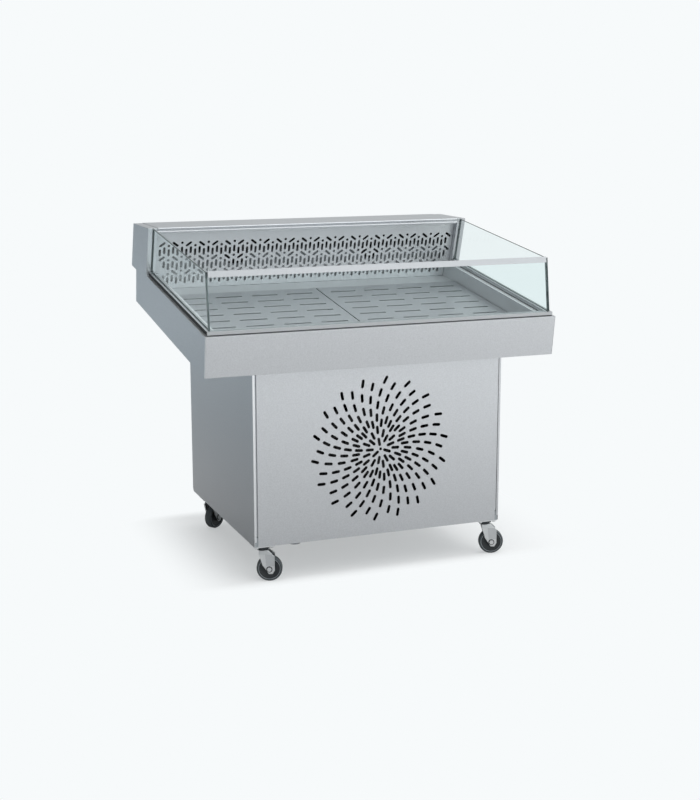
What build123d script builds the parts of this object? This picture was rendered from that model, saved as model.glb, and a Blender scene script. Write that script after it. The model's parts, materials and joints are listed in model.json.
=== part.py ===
import os
from math import atan2, ceil, cos, degrees, hypot, radians, sin, tan

from build123d import *

os.makedirs("parts", exist_ok=True)

# Overall sizes in mm, front towards -Y, floor at z = 0
case_w = 1150
case_d = 920
case_h = 1048
half_w = case_w / 2
front_y = -case_d / 2
rear_y = case_d / 2

# Sheet thicknesses and clearances
sheet = 1.5
thin = 1.2
frame_t = 2
run_fit = 0.05
free_gap = 0.4

# Tub, leaning forward as one box; u runs back along the deck, n stands up from it
tilt = radians(8)
back_rise = 262
rim_z = case_h - back_rise
tub_h = 126
tub_set = 66.4
tub_l = (case_d - tub_set) / cos(tilt)
rim_w = 8
wall = 45
basin_x = half_w - wall
basin_front = wall
rear_wall = 92
ledge_d = 115
ledge_h = 34
floor_t = 36
ledge_back = tub_l - rear_wall
basin_back = ledge_back - ledge_d
basin_n = floor_t - tub_h
ledge_n = basin_n + ledge_h
liner_x = half_w - rim_w
liner_back = ledge_back + 12

# Back unit, leaning towards the customer
lean = radians(17)
cover_step = 1
cap_z = case_h - cover_step
cap_w = 30
cap_x = half_w - cap_w
top_set = 45
top_d = 213.5
top_rear = rear_y - top_set
top_front = top_rear - top_d
cheek_d = 60
panel_set = 22
panel_top = -25
hem_h = 17
hem_lip = 2.5
hem_turn = 14

# Cabinet
over_side = 159
over_front = 59
over_rear = 151
cab_x = half_w - over_side
cab_front = front_y + over_front
cab_rear = rear_y - over_rear
return_w = 7
seam = 5
post_w = 30
front_fold = 18
pan_t = 2
pan_up = 30

# Glazing
glass_t = 6
pane_set = 15
pane_x = half_w - pane_set
pane_lean = radians(7.6)
pane_h = 169.7
pane_drop = 3.0
pane_u = rim_w + 10.5
gasket_t = 2.7
rail_h = 10
rail_top = gasket_t + rail_h
rail_w = 19.5
rail_in = rim_w + rail_w - 0.5
rail_side = liner_x - rail_w
pane_seat = 6
joint_t = 1.5
rear_seal_t = 2.5
glass_gap = 0.3
band_h = 17
band_t = 3

# Casters
wheel_r = 40
caster_rise = 36
cab_z = 2 * wheel_r + caster_rise
tyre_w = 26
rim_r = wheel_r - 6
hub_w = 31
axle_r = 5
trail = 22
caster_x = cab_x - 34
front_caster_y = cab_front + 30
rear_caster_y = cab_rear - 97
plate_w = 64
plate_d = 56
plate_t = 3
race_h = 7
race_r = 23
cup_h = 6
cup_r = 17
pin_r = 6
fork_t = 2.5
fork_half = 19

# Condensing unit
unit_z = cab_z + pan_t
unit_h = 12
base_top = unit_z + unit_h
coil_x = 160
coil_front = cab_front + 66
coil_d = 60
coil_h = 376
coil_top = base_top + coil_h
unit_x = coil_x + 30
unit_front = coil_front - 10
unit_rear = cab_rear - 79
fan_z = base_top + 201
fan_r = 122
shaft_r = 4
comp_x = -60
comp_y = cab_rear - 199
comp_r = 88
comp_h = 210

# Evaporator
coil_half = cap_x - 115
evap_fan_x = coil_half - 180
evap_fan_r = 58
evap_shaft_r = 2.5
fan_plate_w = 60

# Lines
suction_r = 8
liquid_r = 5
line_x = 26 - cab_x
line_gap = 40
drain_x = -unit_x - 70
drain_u = 110
drain_r = 16
pipe_t = 3.4
spigot_r = 18.4
spigot_l = 19
drain_z = cab_z - spigot_l - 5


def deck_yz(u, n):
    """Y and Z of a point u back along the deck and n above it."""
    return (front_y + u * cos(tilt) - n * sin(tilt), rim_z + u * sin(tilt) + n * cos(tilt))


def lean_yz(w, s):
    """Y and Z of a point w behind the back unit's front face and s up along it."""
    return (top_front + w * cos(lean) - s * sin(lean), cap_z + w * sin(lean) + s * cos(lean))


def deck_section(x):
    return Plane(origin=(x, front_y, rim_z), x_dir=(0, cos(tilt), sin(tilt)), z_dir=(1, 0, 0))


def deck_plane(n):
    return Plane(origin=(0, *deck_yz(0, n)), x_dir=(1, 0, 0), z_dir=(0, -sin(tilt), cos(tilt)))


def lean_section(x):
    return Plane(origin=(x, top_front, cap_z), x_dir=(0, cos(lean), sin(lean)), z_dir=(1, 0, 0))


def lean_plane(w):
    return Plane(origin=(0, *lean_yz(w, 0)), x_dir=(1, 0, 0), z_dir=(0, -cos(lean), -sin(lean)))


def pane_section(x):
    return Plane(
        origin=(x, *deck_yz(pane_u, rail_top)),
        x_dir=(0, cos(pane_lean), -sin(pane_lean)),
        z_dir=(1, 0, 0),
    )


def pane_yz(w, h):
    y, z = deck_yz(pane_u, rail_top)
    return (y + w * cos(pane_lean) + h * sin(pane_lean), z - w * sin(pane_lean) + h * cos(pane_lean))


def slot_outline(length, width):
    """Six-sided outline of a punched slot, lying along x."""
    shank = length / 2 - 0.3 * width
    return [
        (-length / 2, 0),
        (-shank, -width / 2),
        (shank, -width / 2),
        (length / 2, 0),
        (shank, width / 2),
        (-shank, width / 2),
    ]


def meet(p, q, r, s):
    """Where line p-q crosses line r-s."""
    a, b = q[0] - p[0], q[1] - p[1]
    c, d = s[0] - r[0], s[1] - r[1]
    k = ((r[0] - p[0]) * d - (r[1] - p[1]) * c) / (a * d - b * c)
    return (p[0] + k * a, p[1] + k * b)


def strip(points, t):
    """Closed outline of a folded sheet: its given face and the face t to the left (right if negative)."""
    dirs = []
    for (a, b), (c, d) in zip(points, points[1:]):
        length = hypot(c - a, d - b)
        dirs.append(((c - a) / length, (d - b) / length))
    other = []
    for i, (a, b) in enumerate(points):
        before = dirs[max(i - 1, 0)]
        after = dirs[min(i, len(dirs) - 1)]
        nx, ny = -before[1] - after[1], before[0] + after[0]
        scale = 2 / (nx * nx + ny * ny)
        other.append((a + nx * scale * t, b + ny * scale * t))
    return points + other[::-1]


def blade_plane(hub, turn, pitch):
    """Plane of one fan blade: x outwards from the hub's axis, tipped by its pitch."""
    out = hub.x_dir * cos(radians(turn)) + hub.y_dir * sin(radians(turn))
    along = hub.y_dir * cos(radians(turn)) - hub.x_dir * sin(radians(turn))
    facing = hub.z_dir * cos(radians(pitch)) + along * sin(radians(pitch))
    return Plane(origin=hub.origin, x_dir=out, z_dir=facing)


def foot_s(w, n):
    """How far along the lean a plane w behind the front face meets deck height n."""
    y0, z0 = lean_yz(w, 0)
    n0 = -(y0 - front_y) * sin(tilt) + (z0 - rim_z) * cos(tilt)
    return (n - n0) / cos(lean - tilt)


# Corners of the side profile
rear_drop = (rear_y - top_rear) / tan(lean)
fascia_low = deck_yz(0, -tub_h)
fascia_top = deck_yz(0, 0)
post_foot = lean_yz(0, foot_s(0, 0))
cap_front = (top_front, cap_z)
cap_rear = (top_rear, cap_z)
rear_edge = (rear_y, cap_z - rear_drop)
under_n = -(rear_y - front_y) * sin(tilt) + (rear_edge[1] - rim_z) * cos(tilt)
under_front = deck_yz(tub_l, under_n)
tub_low_rear = deck_yz(tub_l, -tub_h)
rear_w = (top_rear - top_front) * cos(lean)
foot_u = (post_foot[0] - front_y) * cos(tilt) + (post_foot[1] - rim_z) * sin(tilt)
rim_end = foot_u + cheek_d


def tub_under(y):
    """Height of the tub's underside at depth y."""
    return fascia_low[1] + (y - fascia_low[0]) * tan(tilt)



# Left end panel: one skin over the tub end, boxed out above the deck as the back unit's end cap
with BuildPart() as left_end_panel:
    with BuildSketch(Plane.YZ.offset(-half_w)):
        with BuildLine():
            Polyline(
                fascia_low,
                fascia_top,
                post_foot,
                cap_front,
                cap_rear,
                rear_edge,
                under_front,
                tub_low_rear,
                close=True,
            )
        make_face()
    extrude(amount=sheet)
    with BuildSketch(Plane.YZ.offset(-half_w)):
        with BuildLine():
            wrap = strip([post_foot, cap_front, cap_rear, rear_edge, under_front], -sheet)
            wrap[-1] = lean_yz(sheet, foot_s(sheet, 0))
            Polyline(*wrap, close=True)
        make_face()
    extrude(amount=cap_w)
    with BuildSketch(Plane.YZ.offset(-cap_x - sheet)):
        with BuildLine():
            Polyline(
                post_foot,
                cap_front,
                lean_yz(cheek_d, -cheek_d * tan(lean)),
                lean_yz(cheek_d, foot_s(cheek_d, 0)),
                close=True,
            )
        make_face()
    extrude(amount=sheet)
    with BuildSketch(deck_section(-half_w)):
        with BuildLine():
            Polyline((0, -sheet), (rim_end, -sheet), (rim_end, 0), (0, 0), close=True)
        make_face()
    extrude(amount=rim_w)
left_end_panel.part.label = "left_end_panel"
export_step(left_end_panel.part, "parts/left_end_panel.step")

with BuildPart() as right_end_panel:
    add(left_end_panel.part)
    mirror(about=Plane.YZ, mode=Mode.REPLACE)
right_end_panel.part.label = "right_end_panel"
export_step(right_end_panel.part, "parts/right_end_panel.step")

# Refrigerant lines climb from the cabinet through the rear of the tub
line_y = cab_rear - 39
line_low = (line_y, tub_under(line_y) - 50)
line_w = 96
line_high = lean_yz(line_w, foot_s(line_w, 0))
line_run = hypot(line_high[0] - line_low[0], line_high[1] - line_low[1])
line_passages = ((line_x, suction_r + 3), (line_x + line_gap, liquid_r + 3))


def passage_plane(x):
    """Plane across the sloping run of a refrigerant line, at its lower end."""
    along = ((line_high[0] - line_low[0]) / line_run, (line_high[1] - line_low[1]) / line_run)
    return Plane(origin=(x, *line_low), x_dir=(1, 0, 0), z_dir=(0, *along))


# Tub outer skin: fascia, bottom and rear wall folded from one sheet
with BuildPart() as tub_shell:
    with BuildSketch(deck_section(-half_w + sheet)):
        with BuildLine():
            shell_path = [(rim_w, 0), (0, 0), (0, -tub_h), (tub_l, -tub_h), (tub_l, under_n)]
            Polyline(*strip(shell_path, sheet), close=True)
        make_face()
    extrude(amount=case_w - 2 * sheet)
    with BuildSketch(deck_plane(-tub_h + sheet)):
        with Locations((drain_x, drain_u)):
            Circle(drain_r + pipe_t + 2)
    extrude(amount=-2 * sheet, mode=Mode.SUBTRACT)
    for x, r in line_passages:
        with BuildSketch(passage_plane(x)):
            Circle(r)
        extrude(amount=line_run, mode=Mode.SUBTRACT)
    # End flanges of the fascia tuck under the rim flanges of the end panels
    for x in (-half_w + sheet, half_w - rim_w):
        with BuildSketch(deck_section(x)):
            with Locations((rim_w / 2, 0)):
                Rectangle(rim_w, 2 * sheet)
        extrude(amount=rim_w - sheet, mode=Mode.SUBTRACT)
tub_shell.part.label = "tub_shell"
export_step(tub_shell.part, "parts/tub_shell.step")

# Inner basin with a rear ledge under the air panel
basin_floor = [
    (basin_front, 0),
    (basin_front, basin_n),
    (basin_back, basin_n),
    (basin_back, ledge_n),
    (ledge_back, ledge_n),
    (ledge_back, 0),
]
basin_skin = [
    (basin_front - thin, 0),
    (basin_front - thin, basin_n - thin),
    (basin_back + thin, basin_n - thin),
    (basin_back + thin, ledge_n - thin),
    (ledge_back + thin, ledge_n - thin),
    (ledge_back + thin, 0),
]
with BuildPart() as tub_liner:
    with BuildSketch(deck_section(-basin_x - thin)):
        with BuildLine():
            Polyline(*basin_skin, close=True)
        make_face()
    extrude(amount=2 * (basin_x + thin))
    with BuildSketch(deck_plane(-sheet)):
        with Locations((0, (rim_w + liner_back) / 2)):
            Rectangle(2 * liner_x, liner_back - rim_w)
    extrude(amount=sheet)
    with BuildSketch(deck_section(-basin_x)):
        with BuildLine():
            Polyline(*basin_floor, close=True)
        make_face()
    extrude(amount=2 * basin_x, mode=Mode.SUBTRACT)
    with BuildSketch(deck_plane(basin_n)):
        with Locations((drain_x, drain_u)):
            Circle(drain_r + run_fit)
    extrude(amount=-2 * thin, mode=Mode.SUBTRACT)
tub_liner.part.label = "tub_liner"
export_step(tub_liner.part, "parts/tub_liner.step")

# Foam between skin and basin
with BuildPart() as tub_insulation:
    with BuildSketch(deck_section(-half_w + sheet)):
        with BuildLine():
            Polyline(
                (sheet, -tub_h + sheet),
                (tub_l - sheet, -tub_h + sheet),
                (tub_l - sheet, -sheet),
                (sheet, -sheet),
                close=True,
            )
        make_face()
    extrude(amount=case_w - 2 * sheet)
    with BuildSketch(deck_section(-basin_x - thin)):
        with BuildLine():
            Polyline(*basin_skin, close=True)
        make_face()
    extrude(amount=2 * (basin_x + thin), mode=Mode.SUBTRACT)
    with BuildSketch(deck_plane(basin_n)):
        with Locations((drain_x, drain_u)):
            Circle(drain_r + 1)
    extrude(amount=-tub_h, mode=Mode.SUBTRACT)
    for x, r in line_passages:
        with BuildSketch(passage_plane(x)):
            Circle(r)
        extrude(amount=line_run + 20, mode=Mode.SUBTRACT)
tub_insulation.part.label = "tub_insulation"
export_step(tub_insulation.part, "parts/tub_insulation.step")

# Lift-out deck trays: slotted plates on two folded sides
tray_gap = 2
tray_h = 40
tray_n = basin_n + tray_h
tray_front = basin_front + 5
tray_back = basin_back - 10
tray_w = basin_x - 2 * tray_gap
tray_slot_l = 90
tray_slot_w = 8
tray_pitch_x = 124
tray_pitch_u = 68
tray_cols = int(tray_w / tray_pitch_x)
tray_rows = int((tray_back - tray_front) / tray_pitch_u)
with BuildPart() as left_deck_tray:
    with BuildSketch(deck_plane(tray_n)):
        with Locations((-basin_x + tray_gap + tray_w / 2, (tray_front + tray_back) / 2)):
            Rectangle(tray_w, tray_back - tray_front)
            with GridLocations(tray_pitch_x, tray_pitch_u, tray_cols, tray_rows):
                Rectangle(tray_slot_l, tray_slot_w, mode=Mode.SUBTRACT)
    extrude(amount=-thin)
    for x in (-basin_x + tray_gap, -tray_gap - thin):
        with BuildSketch(deck_section(x)):
            with BuildLine():
                Polyline(
                    (tray_front, basin_n),
                    (tray_back, basin_n),
                    (tray_back, tray_n),
                    (tray_front, tray_n),
                    close=True,
                )
            make_face()
        extrude(amount=thin)
left_deck_tray.part.label = "left_deck_tray"
export_step(left_deck_tray.part, "parts/left_deck_tray.step")

with BuildPart() as right_deck_tray:
    add(left_deck_tray.part)
    mirror(about=Plane.YZ, mode=Mode.REPLACE)
right_deck_tray.part.label = "right_deck_tray"
export_step(right_deck_tray.part, "parts/right_deck_tray.step")

# Drain: flanged outlet with a grid in the basin floor, and a pipe down through the cabinet
outlet_flange = 30
outlet_len = 64
with BuildPart() as drain_outlet:
    with BuildSketch(deck_plane(basin_n)):
        with Locations((drain_x, drain_u)):
            Circle(outlet_flange)
    extrude(amount=2)
    with BuildSketch(deck_plane(basin_n)):
        with Locations((drain_x, drain_u)):
            Circle(drain_r)
    extrude(amount=-outlet_len)
    with BuildSketch(deck_plane(basin_n - outlet_len)):
        with Locations((drain_x, drain_u)):
            Circle(drain_r - 2.5)
    extrude(amount=outlet_len - 2, mode=Mode.SUBTRACT)
    with BuildSketch(deck_plane(basin_n - 3)):
        with Locations((drain_x, drain_u)):
            with GridLocations(5.5, 0, 4, 1):
                Rectangle(3, 18)
    extrude(amount=6, mode=Mode.SUBTRACT)
drain_outlet.part.label = "drain_outlet"
export_step(drain_outlet.part, "parts/drain_outlet.step")

pipe_start = deck_yz(drain_u, basin_n - 42)
pipe_knee = deck_yz(drain_u, basin_n - 110)
with BuildPart() as drain_pipe:
    with BuildLine():
        FilletPolyline(
            (drain_x, *pipe_start), (drain_x, *pipe_knee), (drain_x, pipe_knee[0], drain_z), radius=60
        )
    with BuildSketch(Plane(origin=(drain_x, *pipe_start), x_dir=(1, 0, 0), z_dir=(0, sin(tilt), -cos(tilt)))):
        Circle(drain_r + pipe_t)
        Circle(drain_r + 2 * run_fit, mode=Mode.SUBTRACT)
    sweep()
    # Hose spigot, turned down at the lower end
    with BuildSketch(Plane.XY.offset(drain_z)):
        with Locations((drain_x, pipe_knee[0])):
            Circle(drain_r + 2 * pipe_t)
            Circle(spigot_r, mode=Mode.SUBTRACT)
    extrude(amount=spigot_l, mode=Mode.SUBTRACT)
drain_pipe.part.label = "drain_pipe"
export_step(drain_pipe.part, "parts/drain_pipe.step")

# Glazing: rail frame on a gasket round three sides of the rim
rail_end = foot_u - 6
with BuildPart() as rail_gasket:
    with BuildSketch(deck_plane(0)):
        with Locations((0, rim_w + 1)):
            Rectangle(2 * (liner_x - 1), rail_end - rim_w - 1, align=(Align.CENTER, Align.MIN))
        with Locations((0, rail_in - 1)):
            Rectangle(2 * (rail_side + 1), rail_end, align=(Align.CENTER, Align.MIN), mode=Mode.SUBTRACT)
    extrude(amount=gasket_t)
rail_gasket.part.label = "rail_gasket"
export_step(rail_gasket.part, "parts/rail_gasket.step")

with BuildPart() as glass_rail:
    with BuildSketch(deck_plane(gasket_t)):
        with Locations((0, rim_w)):
            Rectangle(2 * liner_x, rail_end - rim_w, align=(Align.CENTER, Align.MIN))
        with Locations((0, rail_in)):
            Rectangle(2 * rail_side, rail_end, align=(Align.CENTER, Align.MIN), mode=Mode.SUBTRACT)
    extrude(amount=rail_h)
    for x in (-pane_x - glass_gap, pane_x - glass_t - glass_gap):
        with BuildSketch(deck_section(x)):
            with Locations((pane_u, rail_top - pane_seat)):
                Rectangle(rail_end, 2 * pane_seat, align=(Align.MIN, Align.MIN))
        extrude(amount=glass_t + 2 * glass_gap, mode=Mode.SUBTRACT)
    with BuildSketch(pane_section(-pane_x - glass_gap)):
        with Locations((0, -pane_seat)):
            Rectangle(glass_t + 2 * glass_gap, 4 * pane_seat, align=(Align.CENTER, Align.MIN))
    extrude(amount=2 * (pane_x + glass_gap), mode=Mode.SUBTRACT)
glass_rail.part.label = "glass_rail"
export_step(glass_rail.part, "parts/glass_rail.step")

with BuildPart() as front_glass:
    with BuildSketch(pane_section(-pane_x)):
        with Locations((0, -pane_seat)):
            Rectangle(glass_t, pane_seat + pane_h, align=(Align.CENTER, Align.MIN))
    extrude(amount=2 * pane_x)
front_glass.part.label = "front_glass"
export_step(front_glass.part, "parts/front_glass.step")

# Side panes run from the front pane back to the end caps
pane_front_low = meet(
    pane_yz(glass_t / 2 + joint_t, 0), pane_yz(glass_t / 2 + joint_t, 100),
    deck_yz(0, rail_top - pane_seat), deck_yz(100, rail_top - pane_seat),
)
pane_front_top = pane_yz(glass_t / 2 + joint_t, pane_h)
pane_rear_top = lean_yz(-rear_seal_t, -pane_drop)
rail_end_low = deck_yz(rail_end, rail_top - pane_seat)
rail_end_top = deck_yz(rail_end, rail_top + 1)
pane_rear_low = meet(
    lean_yz(-rear_seal_t, 0),
    lean_yz(-rear_seal_t, -100),
    deck_yz(0, rail_top + 1),
    deck_yz(100, rail_top + 1),
)
seal_rear_top = (pane_rear_top[0] + rear_seal_t * cos(lean), pane_rear_top[1] + rear_seal_t * sin(lean))
with BuildPart() as left_glass:
    with BuildSketch(Plane.YZ.offset(-pane_x)):
        with BuildLine():
            Polyline(
                pane_front_low,
                pane_front_top,
                pane_rear_top,
                pane_rear_low,
                rail_end_top,
                rail_end_low,
                close=True,
            )
        make_face()
    extrude(amount=glass_t)
left_glass.part.label = "left_glass"
export_step(left_glass.part, "parts/left_glass.step")

with BuildPart() as right_glass:
    add(left_glass.part)
    mirror(about=Plane.YZ, mode=Mode.REPLACE)
right_glass.part.label = "right_glass"
export_step(right_glass.part, "parts/right_glass.step")

with BuildPart() as front_top_profile:
    with BuildSketch(pane_section(-pane_x + glass_t)):
        with BuildLine():
            Polyline(
                *strip(
                    [
                        (-glass_t / 2, pane_h + sheet - band_h),
                        (-glass_t / 2, pane_h),
                        (glass_t / 2, pane_h),
                        (glass_t / 2, pane_h + sheet - band_h),
                    ],
                    band_t,
                ),
                close=True,
            )
        make_face()
    extrude(amount=2 * (pane_x - glass_t))
front_top_profile.part.label = "front_top_profile"
export_step(front_top_profile.part, "parts/front_top_profile.step")

# Dark joints: two at the front corners, two along the end caps
with BuildPart() as glass_joints:
    with BuildSketch(pane_section(-pane_x)):
        with Locations((glass_t / 2, 2)):
            Rectangle(joint_t, pane_h - 4, align=(Align.MIN, Align.MIN))
    extrude(amount=glass_t)
    with BuildSketch(Plane.YZ.offset(-pane_x)):
        with BuildLine():
            Polyline(
                pane_rear_low,
                pane_rear_top,
                seal_rear_top,
                lean_yz(0, foot_s(0, rail_top + 1)),
                close=True,
            )
        make_face()
    extrude(amount=glass_t)
    mirror(about=Plane.YZ)
glass_joints.part.label = "glass_joints"
export_step(glass_joints.part, "parts/glass_joints.step")

# Back unit: top cover with a folded front hem that ends in a proud lip
cover_x = cap_x - 0.5
with BuildPart() as top_cover:
    with BuildSketch(Plane.YZ.offset(-cover_x)):
        with BuildLine():
            Polyline(
                *strip(
                    [
                        lean_yz(hem_turn, -hem_h),
                        lean_yz(-hem_lip, -hem_h),
                        lean_yz(-hem_lip, 4 - hem_h),
                        lean_yz(0, 6 - hem_h),
                        (top_front - cover_step * tan(lean), case_h),
                        (top_rear, case_h),
                    ],
                    -sheet,
                ),
                close=True,
            )
        make_face()
    extrude(amount=2 * cover_x)
top_cover.part.label = "top_cover"
export_step(top_cover.part, "parts/top_cover.step")

# Rear cover: leaning face, underside and a flange over the tub's rear wall
control_x = cap_x - 57
control_s = -rear_w * tan(lean) - 50
control_w = 100
control_h = 40
body_d = 40
with BuildPart() as rear_cover:
    with BuildSketch(Plane.YZ.offset(-cover_x)):
        with BuildLine():
            Polyline(
                *strip(
                    [
                        (top_rear - 30, case_h - sheet),
                        (top_rear + (cap_z - case_h + sheet) * tan(lean), case_h - sheet),
                        rear_edge,
                        deck_yz(tub_l + sheet, under_n),
                        deck_yz(tub_l + sheet, under_n - 32),
                    ],
                    -sheet,
                ),
                close=True,
            )
        make_face()
    extrude(amount=2 * cover_x)
    with BuildSketch(lean_plane(rear_w + sheet)):
        with Locations((control_x, control_s)):
            Rectangle(control_w - 8, control_h - 8)
    extrude(amount=3 * sheet, mode=Mode.SUBTRACT)
rear_cover.part.label = "rear_cover"
export_step(rear_cover.part, "parts/rear_cover.step")

# Perforated air panel: zigzag rows of slots and holes between rows of staggered upright slots
air_period = 91
air_row = 50.6
air_first = -69
air_shift = 4
air_slot_l = 25
air_slot_w = 8
air_hole_d = 9
zig_angle = 37
dot_up = 4.8
dot_down = 5.6
upright_high = 21.5
upright_low = 29
air_rows = 3
panel_foot = foot_s(panel_set, ledge_n)
deck_s = foot_s(panel_set, 0)
air_edge = 16
air_half = ceil(cap_x / air_period)
zig_left = []
zig_right = []
air_holes = []
uprights = []


def clear_of_edge(place):
    """Whether a slot stays inside the panel, which is narrower below the deck."""
    side = cap_x if place[1] - air_slot_l > deck_s else basin_x
    return abs(place[0]) < side - air_edge


for row in range(air_rows):
    s0 = air_first - row * air_row
    for k in range(-air_half, air_half + 1):
        x0 = air_shift + k * air_period
        zig_left.append((x0 - air_period / 4, s0))
        zig_right.append((x0 + air_period / 4, s0))
        air_holes.append((x0, s0 + dot_up))
        air_holes.append((x0 + air_period / 2, s0 - dot_down))
        for j in range(3):
            uprights.append((x0 + (j - 1) * air_period / 3, s0 - upright_high))
            uprights.append((x0 + (j - 0.5) * air_period / 3, s0 - upright_low))
with BuildPart() as air_panel:
    with BuildSketch(lean_plane(panel_set)):
        with Locations((0, panel_top)):
            Rectangle(2 * cover_x, panel_top - deck_s - 1, align=(Align.CENTER, Align.MAX))
            Rectangle(2 * (basin_x - 1), panel_top - panel_foot - 1, align=(Align.CENTER, Align.MAX))
        with Locations(*filter(clear_of_edge, zig_left)):
            Rectangle(air_slot_l, air_slot_w, rotation=-zig_angle, mode=Mode.SUBTRACT)
        with Locations(*filter(clear_of_edge, zig_right)):
            Rectangle(air_slot_l, air_slot_w, rotation=zig_angle, mode=Mode.SUBTRACT)
        with Locations(*filter(clear_of_edge, uprights)):
            Rectangle(air_slot_w, air_slot_l, mode=Mode.SUBTRACT)
        with Locations(*filter(clear_of_edge, air_holes)):
            RegularPolygon(air_hole_d / 2, 6, mode=Mode.SUBTRACT)
    extrude(amount=-sheet)
    with BuildSketch(lean_section(-cover_x)):
        with Locations((panel_set, panel_top)):
            Rectangle(fan_plate_w - panel_set, sheet, align=(Align.MIN, Align.MAX))
    extrude(amount=2 * cover_x)
air_panel.part.label = "air_panel"
export_step(air_panel.part, "parts/air_panel.step")

# Fan plate behind the air panel, with two round openings
fan_hole_r = evap_fan_r + 5
evap_fan_s = (panel_top + foot_s(fan_plate_w, 0)) / 2
with BuildPart() as fan_plate:
    with BuildSketch(lean_plane(fan_plate_w)):
        with Locations((0, panel_top)):
            Rectangle(
                2 * cover_x, panel_top - foot_s(fan_plate_w, 0), align=(Align.CENTER, Align.MAX)
            )
        with Locations((-evap_fan_x, evap_fan_s), (evap_fan_x, evap_fan_s)):
            Circle(fan_hole_r, mode=Mode.SUBTRACT)
    extrude(amount=-sheet)
fan_plate.part.label = "fan_plate"
export_step(fan_plate.part, "parts/fan_plate.step")

motor_r = 24
motor_w = fan_plate_w + 12
motor_d = 34
with BuildPart() as evap_fan_motors:
    with BuildSketch(lean_plane(motor_w)):
        with Locations((-evap_fan_x, evap_fan_s), (evap_fan_x, evap_fan_s)):
            Circle(motor_r)
    extrude(amount=-motor_d)
    with BuildSketch(lean_plane(motor_w)):
        with Locations((-evap_fan_x, evap_fan_s), (evap_fan_x, evap_fan_s)):
            Circle(evap_shaft_r)
    extrude(amount=22)
    with BuildSketch(lean_plane(motor_w + motor_d)):
        with Locations((-evap_fan_x, evap_fan_s), (evap_fan_x, evap_fan_s)):
            Rectangle(2 * fan_hole_r + 24, 16)
    extrude(amount=-3)
    with BuildSketch(lean_plane(fan_plate_w + sheet)):
        with Locations((-evap_fan_x, evap_fan_s), (evap_fan_x, evap_fan_s)):
            with GridLocations(2 * fan_hole_r + 18, 0, 2, 1):
                Rectangle(6, 16)
    extrude(amount=-(motor_w + motor_d - fan_plate_w - sheet))
evap_fan_motors.part.label = "evap_fan_motors"
export_step(evap_fan_motors.part, "parts/evap_fan_motors.step")

hub_r = 17
hub_d = 16
hub_front = fan_plate_w - 8


def evap_fan(x):
    """Five pitched blades on a hub, ready at one fan opening."""
    with BuildPart() as fan:
        with BuildSketch(lean_plane(hub_front + hub_d)):
            with Locations((x, evap_fan_s)):
                Circle(hub_r)
                Circle(evap_shaft_r + run_fit, mode=Mode.SUBTRACT)
        extrude(amount=hub_d)
        centre = lean_yz(hub_front + hub_d / 2, evap_fan_s)
        axis_plane = Plane(origin=(x, *centre), x_dir=(1, 0, 0), z_dir=(0, -cos(lean), -sin(lean)))
        for k in range(5):
            with BuildSketch(blade_plane(axis_plane, 72 * k, 28)):
                with BuildLine():
                    Polyline(
                        (hub_r - 3, -9),
                        (evap_fan_r - 6, -13),
                        (evap_fan_r - 1, 0),
                        (evap_fan_r - 8, 11),
                        (hub_r - 3, 8),
                        close=True,
                    )
                make_face()
            extrude(amount=0.8, both=True)
    return fan


left_evap_fan = evap_fan(-evap_fan_x)
left_evap_fan.part.label = "left_evap_fan"
export_step(left_evap_fan.part, "parts/left_evap_fan.step")

right_evap_fan = evap_fan(evap_fan_x)
right_evap_fan.part.label = "right_evap_fan"
export_step(right_evap_fan.part, "parts/right_evap_fan.step")

# Evaporator coil with end plates standing in a drip tray
coil_w = 118
coil_thick = 50
coil_s_top = -60
coil_s_low = -150
fin_pitch = 20
fin_count = int(2 * coil_half / fin_pitch) - 1
tray_u = liner_back + 2
drip_h = 14
with BuildPart() as drip_tray:
    with BuildSketch(deck_section(-cover_x)):
        with BuildLine():
            drip_path = [(tray_u, drip_h), (tray_u, -sheet), (tub_l - sheet, -sheet), (tub_l - sheet, drip_h)]
            Polyline(*strip(drip_path, thin), close=True)
        make_face()
    extrude(amount=2 * cover_x)
    for x, r in line_passages:
        with BuildSketch(passage_plane(x)):
            Circle(r)
        extrude(amount=line_run + 20, mode=Mode.SUBTRACT)
drip_tray.part.label = "drip_tray"
export_step(drip_tray.part, "parts/drip_tray.step")

with BuildPart() as evaporator_coil:
    with BuildSketch(lean_plane(coil_w)):
        with Locations((0, coil_s_top)):
            Rectangle(2 * coil_half, coil_s_top - coil_s_low, align=(Align.CENTER, Align.MAX))
    extrude(amount=-coil_thick)
    with BuildSketch(lean_plane(coil_w)):
        with Locations((0, (coil_s_top + coil_s_low) / 2)):
            with GridLocations(fin_pitch, 0, fin_count, 1):
                Rectangle(fin_pitch - 3, coil_s_top - coil_s_low + 2)
    extrude(amount=-8, mode=Mode.SUBTRACT)
    for x in (-coil_half - 2, coil_half):
        with BuildSketch(lean_section(x)):
            with BuildLine():
                Polyline(
                    (coil_w - 4, coil_s_top),
                    (coil_w - 4, foot_s(coil_w - 4, thin - sheet)),
                    (coil_w + 18, foot_s(coil_w + 18, thin - sheet)),
                    (coil_w + 18, coil_s_low),
                    (coil_w + coil_thick, coil_s_low),
                    (coil_w + coil_thick, coil_s_top),
                    close=True,
                )
            make_face()
        extrude(amount=2)
evaporator_coil.part.label = "evaporator_coil"
export_step(evaporator_coil.part, "parts/evaporator_coil.step")

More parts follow.
